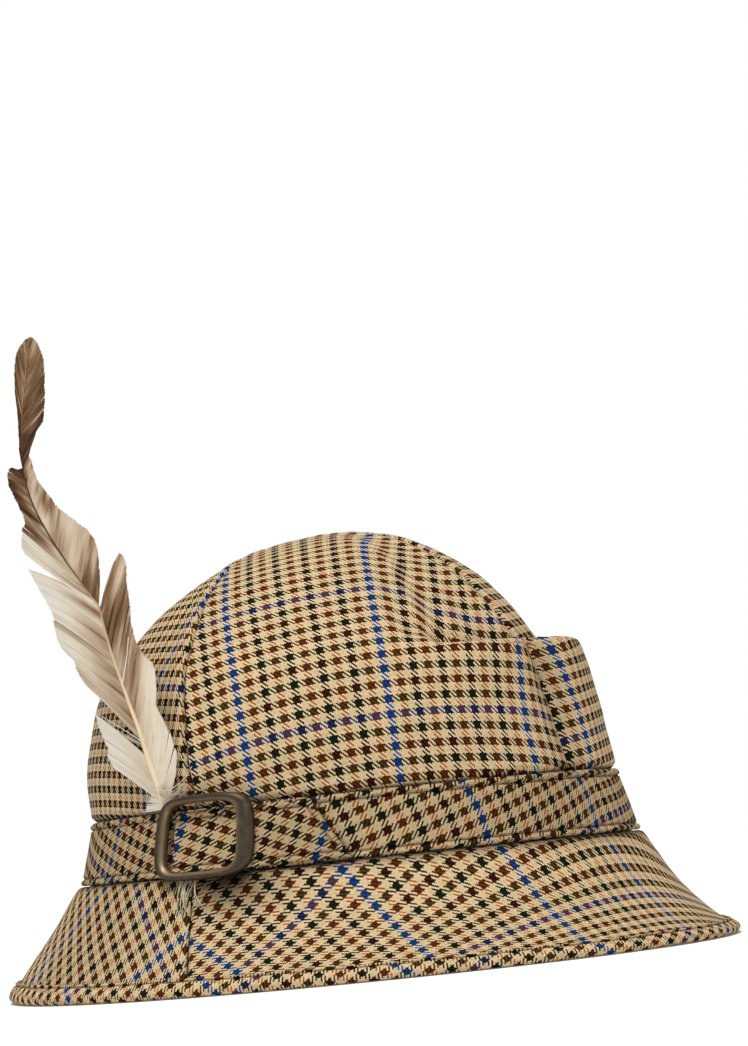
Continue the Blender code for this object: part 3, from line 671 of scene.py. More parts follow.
def buildGore(name, start, end, middle, material):
    foldStart = rimAlong - foldEaseAlong
    foldStop = foldEndAlong + foldEaseAlong
    top = 1 - crown["topHole"] / outlineLength
    places = edgePacked(crown["columns"], arc(abs(end - start), hat["meanRadius"]))
    alongs = inSteps((0, bandTopAlong, foldStart, foldStop, top), crown["rows"])
    ring, share = np.meshgrid(1 - alongs, places, indexing="ij")
    radius = np.maximum(domeAt(1 - ring)[0] * hat["meanRadius"], crown["topHole"])
    gap = np.degrees(np.minimum(0.5 * hat["gap"] / radius, 0.5)) * np.sign(end - start)
    angle = mix(start + gap, end - gap, share)
    seen, along = goreSpot(angle.ravel(), ring.ravel())
    grid = crownSurface(seen, along).reshape(*ring.shape, 3)
    toSeam = arc(np.minimum(np.abs(angle - start), np.abs(end - angle)), radius)
    fade = smooth(0.0, crown["seamEnd"], radius)
    ridge = 1 - smooth(*crown["ridgeEnd"], toSeam / crown["seamRidgeWidth"])
    ridge = ridge * smooth(*crown["ridgeStart"], toSeam)
    seam = crown["seamRidge"] * ridge - crown["seamGroove"] * bell(toSeam, crown["seamGrooveWidth"])
    seam = seam + waves(grid, [crown["pucker"]]) * bell(toSeam, crown["puckerWidth"])
    bandTop = hat["seamHeight"] + hat["bandHeight"]
    free = smooth(bandTop, bandTop + crown["bandEase"], grid[..., 2])
    lift = (seam * fade + waves(grid, crown["bumps"])) * free
    grid = grid + outward(grid) * lift[..., None]
    inner = grid - outward(grid) * crown["cloth"]
    cloth = crownCloth(seen, along, middle, cuts[name]).reshape(*ring.shape, 2)
    # painted shade in the seams, just above the band and beside the front's centre seam
    lapTop = bandTop + hat["gap"]
    lap = 1 - smooth(lapTop, lapTop + crown["lapWidth"], grid[..., 2])
    paintedShade = crown["seamShade"] * bell(toSeam, crown["seamShadeWidth"]) * fade
    paintedShade = np.maximum(paintedShade, crown["lapShade"] * lap)
    if "front" in name:
        dip = bell(arc(np.abs(seen), hat["halfWidth"]) - crown["dipPlace"], crown["dipWidth"])
        dip = dip * (1 - smooth(*[rimAlong + end for end in crown["dipEnd"]], along))
        paintedShade = np.maximum(paintedShade, crown["dipShade"] * dip.reshape(ring.shape))
    buildWall(name + "_wool", grid, inner, cloth, paintedShade, material, "crown_cloth", name, sharp=75.0)


# Brim: two curved pieces whose edge is bound

brim = {
    "frontOut": 0.0305,
    "backOut": 0.0278,
    "sideOut": 0.0292,
    "slope": 0.047,         # from the crown to the edge, along the cloth
    "seam": (86.3, 79.0),   # at the crown and at the edge
    "cloth": 0.0030,
    "lowest": 0.0004,
    "columns": 96,
    "rows": 34,
    "span": (-0.06, 0.985),  # from under the band to inside the binding, across the brim
    "shoulder": 0.03,       # how far out the cloth stays up under the band
    "bumps": ((0.0003, 0.03, 5), (0.00012, 0.010, 6)),
    "seamGroove": 0.00088,
    "pucker": (0.0002, 0.004, 7),
    "puckerWidth": 0.004,
    # painted shade under the band and along the binding
    "lapShade": 0.85,       # under the band
    "lapWidth": 0.115,
    "edgeShade": 0.50,      # along the binding
    "edgePlace": 0.004,     # inside the binding, across the brim
    "edgeWidth": 0.010,
    "settle": (0.0, 0.1),   # across the brim, until the cloth waves freely
    "shadeFrom": 0.06,
    # painted shadow under the buckle, and painted shade on the brim behind it: angle, spread, how far
    # across, share
    "shades": ((77.5, 9.5, 0.46, 0.92), (104.0, 24.0, 4.0, 0.21)),
    # across, then the share of the fall in front and behind
    "line": ((0.00, 0.000, 0.000), (0.22, 0.320, 0.210), (0.46, 0.600, 0.440), (0.70, 0.815, 0.680),
             (0.90, 0.945, 0.890), (1.00, 1.000, 1.000)),
}


def brimOut(turn):
    forward = np.cos(turn)
    ends = np.where(forward > 0, brim["frontOut"], brim["backOut"])
    return mix(brim["sideOut"], ends, forward ** 2)


def brimSurface(angle, across, lower=0.0):
    # the brim's upper face; lower is how far under it, square to its slope
    turn = np.radians(angle)
    out = brimOut(turn)
    fall = hat["seamHeight"] - brim["cloth"] / 2
    level = across - brim["shoulder"] * smooth(0.0, 0.05, across) * (1 - smooth(0.1, 0.4, across))
    front = spline(column(brim["line"], 0), column(brim["line"], 1), level)
    back = spline(column(brim["line"], 0), column(brim["line"], 2), level)
    drop = mix(back, front, (1 + np.cos(turn)) / 2)
    slant = np.arctan2(fall, out)
    run = across * out - lower * np.sin(slant)
    height = hat["seamHeight"] - drop * fall - lower * np.cos(slant)
    taper = headTaper(turn)
    return np.stack([-(hat["halfWidth"] * taper + run) * np.sin(turn),
                     hat["centreY"] - (hat["halfLength"] * taper + run) * np.cos(turn), height], -1)


def brimCloth(angle, across, middle, cut):
    # the brim is cut as part of a flat ring: its warps run straight through that ring
    slant = math.atan2(hat["seamHeight"], brim["sideOut"])
    innerRadius = hat["meanRadius"] / math.cos(slant)
    turn = np.radians(middle - angle) * math.cos(slant)
    radius = innerRadius + across * brim["sideOut"] / math.cos(slant)
    return layCloth(radius * np.sin(turn), innerRadius - radius * np.cos(turn), cut)


def buildBrim(name, front, middle, material):
    turned = 2 * brim["seam"][1]
    places = edgePacked(brim["columns"], arc(turned if front else 360 - turned, hat["meanRadius"]))
    across, share = np.meshgrid(np.linspace(*brim["span"], brim["rows"]), places, indexing="ij")
    seam = mix(*brim["seam"], np.clip(across, 0, 1))
    start, end = (-seam, seam) if front else (seam, 360 - seam)
    gap = math.degrees(0.5 * hat["gap"] / hat["halfWidth"])
    angle = mix(start + gap, end - gap, share)
    grid = brimSurface(angle, across)
    toSeam = arc(np.minimum(np.abs(angle - start), np.abs(end - angle)), hat["meanRadius"])
    lift = waves(grid, brim["bumps"]) - brim["seamGroove"] * bell(toSeam, crown["seamGrooveWidth"])
    lift = lift + waves(grid, [brim["pucker"]]) * bell(toSeam, brim["puckerWidth"])
    grid = grid + outward(grid) * (lift * smooth(*brim["settle"], across))[..., None]
    under = grid - outward(grid) * brim["cloth"]
    under[..., 2] = np.maximum(under[..., 2], brim["lowest"])
    # painted shade: under the band, in the seams, under the buckle and behind it, and along the binding
    lap = 1 - smooth(0.0, brim["lapWidth"], across)
    paintedShade = np.maximum(crown["seamShade"] * bell(toSeam, crown["seamShadeWidth"]), brim["lapShade"] * lap)
    for place, spread, depth, shade in brim["shades"]:
        shade = shade * (1 - smooth(brim["shadeFrom"], depth, across))
        paintedShade = np.maximum(paintedShade, shade * bell(angle - place, spread))
    edge = bell(across - binding["inner"] + brim["edgePlace"], brim["edgeWidth"])
    paintedShade = np.maximum(paintedShade, brim["edgeShade"] * edge)
    cloth = brimCloth(angle, across, middle, cuts[name])
    buildWall(name + "_wool", grid, under, cloth, paintedShade, material, "brim_cloth", name)


# The brim's edge is bound with a strip of the same cloth, cut on the bias

binding = {
    "inner": 0.855,         # across the brim, where the strip starts
    "middle": 0.0030,       # round from its inner edge, where the cloth is counted from
    "lowest": 0.0003,
    "columns": 560,
    "rows": 46,
    "topRows": 20,          # those that are seen from above
    "waver": ((0.00030, 0.014, 21), (0.00012, 0.004, 22)),
    "bumps": ((0.00016, 0.0035, 23), (0.00018, 0.009, 24)),
    "topShares": (0.9, 0.6),  # where the top's waves fade: across the strip, and down its inner edge
    "topHeights": (-0.0006, 0.0004),
    # painted shade in the stitch groove and along the strip's inner edge
    "grooveShade": 0.55,
    "groovePlace": 0.23,
    "grooveWidth": 0.05,
    "edgeShade": 0.60,
    "edgeWidth": 0.03,
    # share of the strip's width from its inner edge round to underneath, and its height off the brim
    "section": ((0.00, -0.0004), (0.00, 0.0004), (0.05, 0.00110), (0.14, 0.00130), (0.23, 0.00070),
                (0.31, 0.00115), (0.42, 0.00120), (0.58, 0.00115), (0.74, 0.00105), (0.88, 0.00075),
                (0.98, 0.00015), (1.04, -0.0007), (1.05, -0.0016), (0.99, -0.0028), (0.86, -0.0038),
                (0.60, -0.0040), (0.30, -0.0040), (0.12, -0.0038), (0.08, -0.0030)),
}
bindingWidth = (1 - binding["inner"]) * brim["slope"]


def bindingPoint(angle, share, height):
    across = mix(binding["inner"], 1.0, share)
    point = brimSurface(angle, across, -height)
    point[..., 2] = np.maximum(point[..., 2], binding["lowest"])
    return point


def buildBinding(material):
    columns = np.linspace(-180, 180, binding["columns"] + 1)
    knots = np.arange(len(binding["section"]))
    finer = np.linspace(0, knots[-1], binding["rows"])
    share, height = [spline(knots, column(binding["section"], k), finer) for k in range(2)]
    height, angle = np.meshgrid(height, columns, indexing="ij")
    share = np.repeat(share[:, None], len(columns), 1)
    flat = brimSurface(angle, mix(binding["inner"], 1.0, share))
    top = smooth(*binding["topShares"], share) * smooth(*binding["topHeights"], height)
    height = height + waves(flat, binding["bumps"]) * top
    points = bindingPoint(angle, share + waves(flat, binding["waver"]) / bindingWidth * top, height)
    steps = np.hypot(np.diff(share[:, 0]) * bindingWidth, np.diff(height.mean(1)))
    travelled = np.concatenate([[0.0], np.cumsum(steps)]) - binding["middle"]
    reach = 1 + brim["sideOut"] / hat["meanRadius"]
    travelled = np.repeat(travelled[:, None], len(columns), 1)
    cloth = layCloth(-roundHat(angle) * reach, travelled, cuts["binding"])
    # painted shade in the stitch groove and along the inner edge, on the top rows only
    paintedShade = binding["grooveShade"] * bell(share - binding["groovePlace"], binding["grooveWidth"])
    paintedShade = paintedShade + binding["edgeShade"] * bell(share, binding["edgeWidth"])
    paintedShade = paintedShade * (np.arange(len(share)) < binding["topRows"])[:, None]
    piece = loft("brim_binding", points[:, :-1], cloth, material, "brim_cloth", ring=True)
    paint(piece, "paintedShade", paintedShade[:, :-1])


def tube(path, radius, sides=5):
    # a thread through the points of the path, as vertices and faces
    path = np.asarray(path)
    along = unit(np.gradient(path, axis=0))
    side = unit(np.cross(along, np.array([0.31, 0.17, 0.93])))  # a way that no thread runs
    face = np.cross(along, side)
    turn = np.linspace(0, 2 * math.pi, sides, endpoint=False)[None, :, None]
    radius = np.broadcast_to(radius, len(path))[:, None, None]
    verts = path[:, None] + radius * (side[:, None] * np.cos(turn) + face[:, None] * np.sin(turn))
    index = np.arange(len(path) * sides).reshape(len(path), sides)
    low, high = index[:-1], index[1:]
    faces = np.stack([low, np.roll(low, -1, 1), np.roll(high, -1, 1), high], -1).reshape(-1, 4)
    return verts.reshape(-1, 3), faces


def joined(parts):
    # parts: vertices and faces of each, made into one list of vertices and one of faces
    starts = np.cumsum([0] + [len(verts) for verts, faces in parts[:-1]])
    return (np.concatenate([verts for verts, faces in parts]),
            np.concatenate([faces + start for (verts, faces), start in zip(parts, starts)]))


yarn = {
    "roughness": 0.8,
    "plyScale": 1400.0,
    "ply": 0.9,             # share of the full tint between its shaded plies
    "shaded": 0.55,
}


def spinThread(name, tint):
    material, wire, shader = startMaterial(name, yarn["roughness"])
    ply = wire.add("ShaderNodeTexCoord", out=3).noise(yarn["plyScale"]) * yarn["ply"]
    shaded = colour(*[share * yarn["shaded"] for share in tint[:3]])
    plug(ply.colours(shaded, tint), shader, "Base Color")
    return material


stitches = {
    "line": 0.0011,         # from the binding's inner edge
    "pitch": 0.0030,        # from stitch to stitch
    "length": 0.0021,
    "edgeReach": 1.31,      # the brim's edge over the head line
    "rise": 0.00072,
    "dip": 0.0007,          # at a stitch's ends, where the thread goes into the cloth
    "waver": 0.012,
    "thread": 0.00017,
    "tint": colour(0.30, 0.22, 0.12),
}


def buildStitches():
    length = float(roundHat(180.0) - roundHat(-180.0)) * stitches["edgeReach"]
    count = int(length / stitches["pitch"])
    half = 180 * stitches["length"] / length
    s = np.linspace(-1, 1, 6)
    height = stitches["rise"] - stitches["dip"] * np.abs(s) ** 4
    tubes = []
    for k in range(count):
        middle = -180 + 360 * (k + 0.5) / count
        share = stitches["line"] / bindingWidth + stitches["waver"] * math.sin(k * 2.3)
        path = bindingPoint(middle + s * half, share + 0 * s, height)
        tubes.append(tube(path, stitches["thread"] * (1 - 0.3 * s ** 4)))
    thread = spinThread("stitching", stitches["tint"])
    makePiece("brim_stitches", *joined(tubes), thread, "brim_cloth", sharp=80.0)


fray = {
    "angle": 85.9,
    "spread": 0.8,
    "across": 0.03,
    "strands": 10,
    "length": (0.0070, 0.0155),
    "lean": (-0.10, 0.16),  # sideways for each length, and how that differs
    "sway": 0.16,
    "curl": 0.0005,
    "curls": (3, 7),
    "lift": 0.0002,
    "rise": (0.0008, 0.0022),
    "humps": (0.7, 1.1),
    "thread": 0.00024,
    "thickness": (0.6, 1.1),
    "tint": colour(0.74, 0.66, 0.50),
    "seed": 8,
}


def buildFray():
    # the frayed ends that hang out of the brim's seam under the buckle
    rng = np.random.default_rng(fray["seed"])
    s = np.linspace(0, 1, 14)
    tubes = []
    for _ in range(fray["strands"]):
        length = rng.uniform(*fray["length"])
        start = fray["angle"] + rng.normal(0, fray["spread"])
        lean = rng.normal(*fray["lean"])
        curl = rng.normal(0, fray["curl"]) * np.sin(s * rng.uniform(*fray["curls"]))
        sway = length * (lean * s + rng.normal(0, fray["sway"]) * s ** 2) + curl * s
        hump = rng.uniform(*fray["rise"])
        hump = hump * np.sin(math.pi * np.clip(s * rng.uniform(*fray["humps"]), 0, 1))
        across = fray["across"] + length / brim["slope"] * s
        path = brimSurface(start + np.degrees(sway / hat["meanRadius"]), across, -fray["lift"] - hump)
        tubes.append(tube(path, fray["thread"] * rng.uniform(*fray["thickness"]) * (1 - 0.5 * s)))
    thread = spinThread("fray", fray["tint"])
    makePiece("frayed_threads", *joined(tubes), thread, "brim_cloth", sharp=80.0)


# Band: a folded strip right round the crown, whose end runs through the buckle

strip = {
    "columns": 420,
    "roll": 0.0011,
    "edgeDrop": 0.0013,     # how far the rolled edge turns down
    "lip": 0.00050,
    "lipWidth": 0.0023,     # the turned-in edge shows through as a ridge this wide
    "turnIn": 0.0006,       # how much narrower the inner face is, at each edge
    "groove": 0.00060,
    "grooveWidth": 0.0004,
    "bandBumps": ((0.00035, 0.022, 11), (0.00012, 0.008, 12)),
    "strapBumps": ((0.00025, 0.018, 15),),
    "waver": (0.00025, 0.016, 14),
    "press": (0.0003, 0.005, 17),  # how unevenly the edges are pressed
    "pucker": (0.0003, 0.0042),
    "puckerPlace": 0.0015,
    "puckerWidth": 0.0016,
    # painted shade in the groove inside each rolled edge and along the edges, in patches; painted shadow
    # round the strap's end
    "grooveShade": 0.60,
    "shadeShift": 0.0001,   # from the groove's middle
    "grooveShadeWidth": 0.00045,
    "edgeShade": 0.45,
    "edgeShadeWidth": 0.0006,
    "patchy": (0.75, 0.5, 0.006),  # the shade's least, its change and the patches' size
    "strapShade": 0.75,     # on the band, round the strap's end
    # painted shade on the band at these places: angle, spread, share
    "shades": ((106.0, 18.0, 0.10), (14.0, 16.0, 0.10)),
    # painted shade on the strap, from about half-way along to its end
    "strapPaintedShade": 0.10,
    "strapShadeFrom": (0.35, 0.55),
    "tipShadeWidth": 0.9,   # degrees
    "strapHeight": 0.0200,
    "strapInner": 0.00153,
    "strapColumns": 56,
    "strapStart": 90.5,
    "tipTop": 61.4,
    "tipFoot": 54.2,
    "tipSlant": 0.9,
    "join": 75.0,           # where one cut of the cloth gives way to the other, under the strap
}
# millimetres from an edge
stripSteps = np.array([0, 0.08, 0.2, 0.4, 0.7, 1.1, 1.5, 1.8, 2.05, 2.3, 2.55, 2.85, 3.3]) / 1000


def bandPoint(angle, rise, out):
    slope = (1 - domeAt(bandTopAlong)[0]) / hat["bandHeight"]
    reach = 1 - slope * np.minimum(rise, hat["bandHeight"]) + out / hat["meanRadius"]
    return headPoint(angle, reach, hat["seamHeight"] + hat["gap"] + rise)


def stripLift(flat, fromEdge, bumps, seed):
    edge = np.clip(fromEdge / strip["roll"], 0, 1)
    turned = -strip["edgeDrop"] * (1 - np.sqrt(np.maximum(1 - (1 - edge) ** 2, 0)))
    lip = strip["lip"] * smooth(1.05, 0.5, fromEdge / strip["lipWidth"])
    groove = strip["groove"] * bell(fromEdge - strip["lipWidth"], strip["grooveWidth"])
    pucker = waves(flat, [(*strip["pucker"], seed)])
    pucker = pucker * bell(fromEdge - strip["puckerPlace"], strip["puckerWidth"])
    return turned + lip - groove + waves(flat, bumps) + pucker


def stripPaintedShade(flat, fromEdge, seed):
    # painted shade in the groove inside the rolled edge and along the edge itself, in patches
    fromGroove = fromEdge - strip["lipWidth"] - strip["shadeShift"]
    groove = strip["grooveShade"] * bell(fromGroove, strip["grooveShadeWidth"])
    edge = strip["edgeShade"] * (1 - smooth(0.0, strip["edgeShadeWidth"], fromEdge))
    least, change, size = strip["patchy"]
    return (groove + edge) * (least + change * ripple(flat, size, seed))


def stripRows(height):
    middle = np.linspace(stripSteps[-1], height - stripSteps[-1], 12)[1:-1]
    return np.concatenate([stripSteps, middle, height - stripSteps[::-1]])


def strapTip(rise):
    return mix(strip["tipFoot"], strip["tipTop"], rise / strip["strapHeight"])


def buildBand(material):
    angles = np.linspace(-180, 180, strip["columns"] + 1)
    rise, angle = np.meshgrid(stripRows(hat["bandHeight"]), angles, indexing="ij")
    fromEdge = np.minimum(rise, hat["bandHeight"] - rise)
    flat = bandPoint(angle, rise, 0.0)
    lift = stripLift(flat, fromEdge, strip["bandBumps"], 13)
    outer = bandPoint(angle, rise + waves(flat, [strip["waver"]]), lift)
    innerRise = np.clip(rise, strip["turnIn"], hat["bandHeight"] - strip["turnIn"])
    inner = bandPoint(angle, innerRise, -hat["bandCloth"])
    front, back = [layCloth(-roundHat(angle), rise, cuts[name]) for name in ("band_front", "band_back")]
    cloth = np.where((angle < strip["join"])[..., None], front, back)
    pressed = np.maximum(fromEdge + waves(flat, [strip["press"]]), 0)
    # painted shadow round the strap's end, and painted shade at two places round the band
    byTip = bell(angle - strapTip(rise), strip["tipShadeWidth"])
    paintedShade = stripPaintedShade(flat, pressed, 18) + strip["strapShade"] * byTip
    for place, spread, shade in strip["shades"]:
        paintedShade = np.maximum(paintedShade, shade * bell(angle - place, spread))
    buildWall("hat_band_wool", outer, inner, cloth, paintedShade, material, "band_cloth", "hat_band", ring=True)


def buildStrap(material):
    low = (hat["bandHeight"] - strip["strapHeight"]) / 2
    edge = stripSteps[::-1] / arc(strip["strapStart"] - strip["tipFoot"], hat["meanRadius"])
    shares = np.concatenate([np.linspace(0, 1 - edge[0], strip["strapColumns"])[:-1], 1 - edge])
    rise, share = np.meshgrid(stripRows(strip["strapHeight"]), shares, indexing="ij")
    angle = mix(strip["strapStart"], strapTip(rise), share)
    fromTip = arc(angle - strapTip(rise), hat["meanRadius"]) * strip["tipSlant"]
    fromEdge = np.minimum(np.minimum(rise, strip["strapHeight"] - rise), fromTip)
    seat = hat["bandCloth"] + hat["gap"]
    flat = bandPoint(angle, low + rise, seat)
    outer = bandPoint(angle, low + rise, seat + stripLift(flat, fromEdge, strip["strapBumps"], 16))
    inner = bandPoint(angle, low + rise, seat - strip["strapInner"])
    cloth = layCloth(-roundHat(angle), low + rise, cuts["strap"])
    # painted shade on the strap towards its end, besides that in its grooves and edges
    tint = strip["strapPaintedShade"] * smooth(*strip["strapShadeFrom"], share)
    paintedShade = np.maximum(stripPaintedShade(flat, fromEdge, 19), tint)
    buildWall("band_end_wool", outer, inner, cloth, paintedShade, material, "band_cloth", "band_end")


# Buckle: a domed frame without a prong, worn bright along its edges, with a highlight painted along them

buckle = {
    "width": 0.0386,
    "height": 0.0274,
    "thickness": 0.0034,
    "windowWidth": 0.0282,
    "windowHeight": 0.0220,
    "windowShift": 0.0010,
    "squareness": 4.0,
    "windowSquareness": 5.0,
    "stations": 176,
    "crowding": 0.12,       # of the stations, at the corners
    "angle": 83.0,
    "rise": 0.0121,
    "strapSeat": 0.0024,
    "quillSeat": 0.0033,
    # share of the way out from the window, and of the thickness; then how worn it is there, with painted
    # highlight
    "section": ((0.00, 0.05, 0.35), (0.00, 0.30, 0.40), (0.03, 0.52, 0.60), (0.10, 0.72, 1.00),
                (0.22, 0.87, 0.62), (0.38, 0.97, 0.30), (0.55, 1.00, 0.16), (0.72, 0.95, 0.12),
                (0.86, 0.81, 0.18), (0.95, 0.62, 0.26), (1.00, 0.42, 0.25), (1.00, 0.20, 0.05),
                (0.97, 0.04, 0.00), (0.80, 0.00, 0.00), (0.30, 0.00, 0.00), (0.06, 0.00, 0.05)),
    # the bronze, and the brighter bronze of its edges: worn, and painted highlight
    "dark": colour(0.050, 0.039, 0.028),
    "wornAndHighlit": colour(0.30, 0.225, 0.135),
    "roughness": 0.54,
    "wearAndHighlightScale": 90.0,
    # here and below, the wear is the worn edge together with its painted highlight
    "wearAndHighlightPatches": (0.55, 0.9),  # the wear's least share, and its change from patch to patch
    "grainScale": 420.0,
    "grain": 0.35,          # how much the fine grain changes the wear, and the roughness
    "grainRoughness": 0.22,
    "grainRelief": 0.0001,
    "reliefStrength": 0.25,
}


def castBronze():
    material, wire, shader = startMaterial("antique_bronze", buckle["roughness"], 1.0)
    body = wire.add("ShaderNodeTexCoord", out=3)
    # the bright edge: worn bronze, with a painted highlight
    wearAndHighlight = wire.add("ShaderNodeAttribute", {"attribute_name": "wearAndHighlight"}, out=2)
    grain = body.noise(buckle["grainScale"], 5.0)
    least, change = buckle["wearAndHighlightPatches"]
    wearAndHighlight = wearAndHighlight * (least + body.noise(buckle["wearAndHighlightScale"], 3.0) * change)
    share = wearAndHighlight + (grain - 0.5) * buckle["grain"]
    plug(share.colours(buckle["dark"], buckle["wornAndHighlit"]), shader, "Base Color")
    plug(buckle["roughness"] + (grain - 0.5) * buckle["grainRoughness"], shader, "Roughness")
    bump = wire.add("ShaderNodeBump", inputs={"Strength": buckle["reliefStrength"],
                                              "Distance": buckle["grainRelief"], "Height": grain})
    plug(bump, shader, "Normal")
    return material


def roundedSquare(width, height, squareness, turn):
    c, s = np.cos(turn), np.sin(turn)
    return (np.copysign(np.abs(c) ** (2 / squareness), c) * width / 2,
            np.copysign(np.abs(s) ** (2 / squareness), s) * height / 2)


def buildBuckle(material):
    stations = buckle["stations"]
    finer = np.linspace(0, len(buckle["section"]), 48, endpoint=False)
    knots = np.arange(len(buckle["section"]) + 1)
    closed = buckle["section"] + buckle["section"][:1]
    across, lift, wearAndHighlight = [spline(knots, column(closed, k), finer) for k in range(3)]
    turn = np.linspace(0, 2 * math.pi, stations, endpoint=False)
    turn = turn + buckle["crowding"] * np.sin(4 * turn)
    outer = roundedSquare(buckle["width"], buckle["height"], buckle["squareness"], turn)
    inner = roundedSquare(buckle["windowWidth"], buckle["windowHeight"], buckle["windowSquareness"], turn)
    sideways = mix(inner[0] + buckle["windowShift"], outer[0], across[:, None])
    up = mix(inner[1], outer[1], across[:, None])
    angle = buckle["angle"] + np.degrees(sideways / hat["halfLength"])
    seat = mix(buckle["strapSeat"], buckle["quillSeat"], np.clip(sideways / buckle["width"] + 0.5, 0, 1))
    points = bandPoint(angle, buckle["rise"] + up, seat + np.maximum(lift, 0)[:, None] * buckle["thickness"])
    cloth = np.zeros((len(finer), stations + 1, 2))
    piece = loft("buckle_frame", points, cloth, material, "bronze", ["buckle"], ring=True)
    # how worn each part of the section is, with painted highlight
    paint(piece, "wearAndHighlight", np.repeat(wearAndHighlight, stations))


# Feather: barbs laid one by one along a bent shaft, in the locks that they part into

feather = {
    "length": 0.164,
    "foot": 0.0072,         # behind the hat's middle
    "raised": 0.0006,
    "standOff": 0.0015,     # from the band
    "lean": 0.0030,         # how far out it stands at the top, and half-way
    "arch": 0.0020,
    # rise, then back, in feather lengths from the foot
    "shaft": ((0.0049, -0.0091), (0.0445, 0.0034), (0.1108, 0.0228), (0.1637, 0.0359), (0.2175, 0.0537),
              (0.2646, 0.0684), (0.3323, 0.0892), (0.3929, 0.1025), (0.4296, 0.1100), (0.4486, 0.1266),
              (0.5003, 0.1662), (0.5527, 0.2066), (0.6009, 0.2387), (0.6562, 0.2705), (0.7063, 0.2887),
              (0.7416, 0.2950), (0.7815, 0.2925), (0.8351, 0.2882), (0.8879, 0.2793), (0.9333, 0.2673),
              (0.9658, 0.2588), (1.0020, 0.2518)),
    "fleck": 0.10,
    "fleckScale": 260.0,
    "specular": 0.10,
    # tone, from the palest down to the darkest brown
    "stops": ((0.00, colour(0.84, 0.79, 0.71)), (0.15, colour(0.74, 0.65, 0.51)),
              (0.35, colour(0.53, 0.410, 0.285)), (0.55, colour(0.275, 0.163, 0.088)),
              (0.78, colour(0.100, 0.049, 0.022)), (1.00, colour(0.026, 0.012, 0.006))),
}


def featherPoint(back, rise, out):
    foot = hat["halfWidth"] * float(domeAt(bandTopAlong)[0]) + feather["standOff"]
    plane = foot + feather["lean"] * rise + feather["arch"] * np.sin(math.pi * np.clip(rise, 0, 1))
    return np.stack([-(plane + out), hat["centreY"] + feather["foot"] + back * feather["length"],
                     hat["seamHeight"] + hat["gap"] + hat["bandHeight"] + feather["raised"]
                     + rise * feather["length"]], -1)


def shaftAt(rise):
    return spline(column(feather["shaft"], 0), column(feather["shaft"], 1), rise)


def growPlume(name, roughness, tint):
    material, wire, shader = startMaterial(name, roughness, specular=feather["specular"])
    tone = wire.add("ShaderNodeAttribute", {"attribute_name": "tone"}, out=2)
    fleck = wire.add("ShaderNodeTexCoord", out=3).noise(feather["fleckScale"], 3.0) - 0.5
    tone = tone + fleck * feather["fleck"]
    ramp = wire.add("ShaderNodeValToRGB", {"stops": feather["stops"]}, {"Fac": tone})
    plug(ramp.shade(tint), shader, "Base Color")
    return material


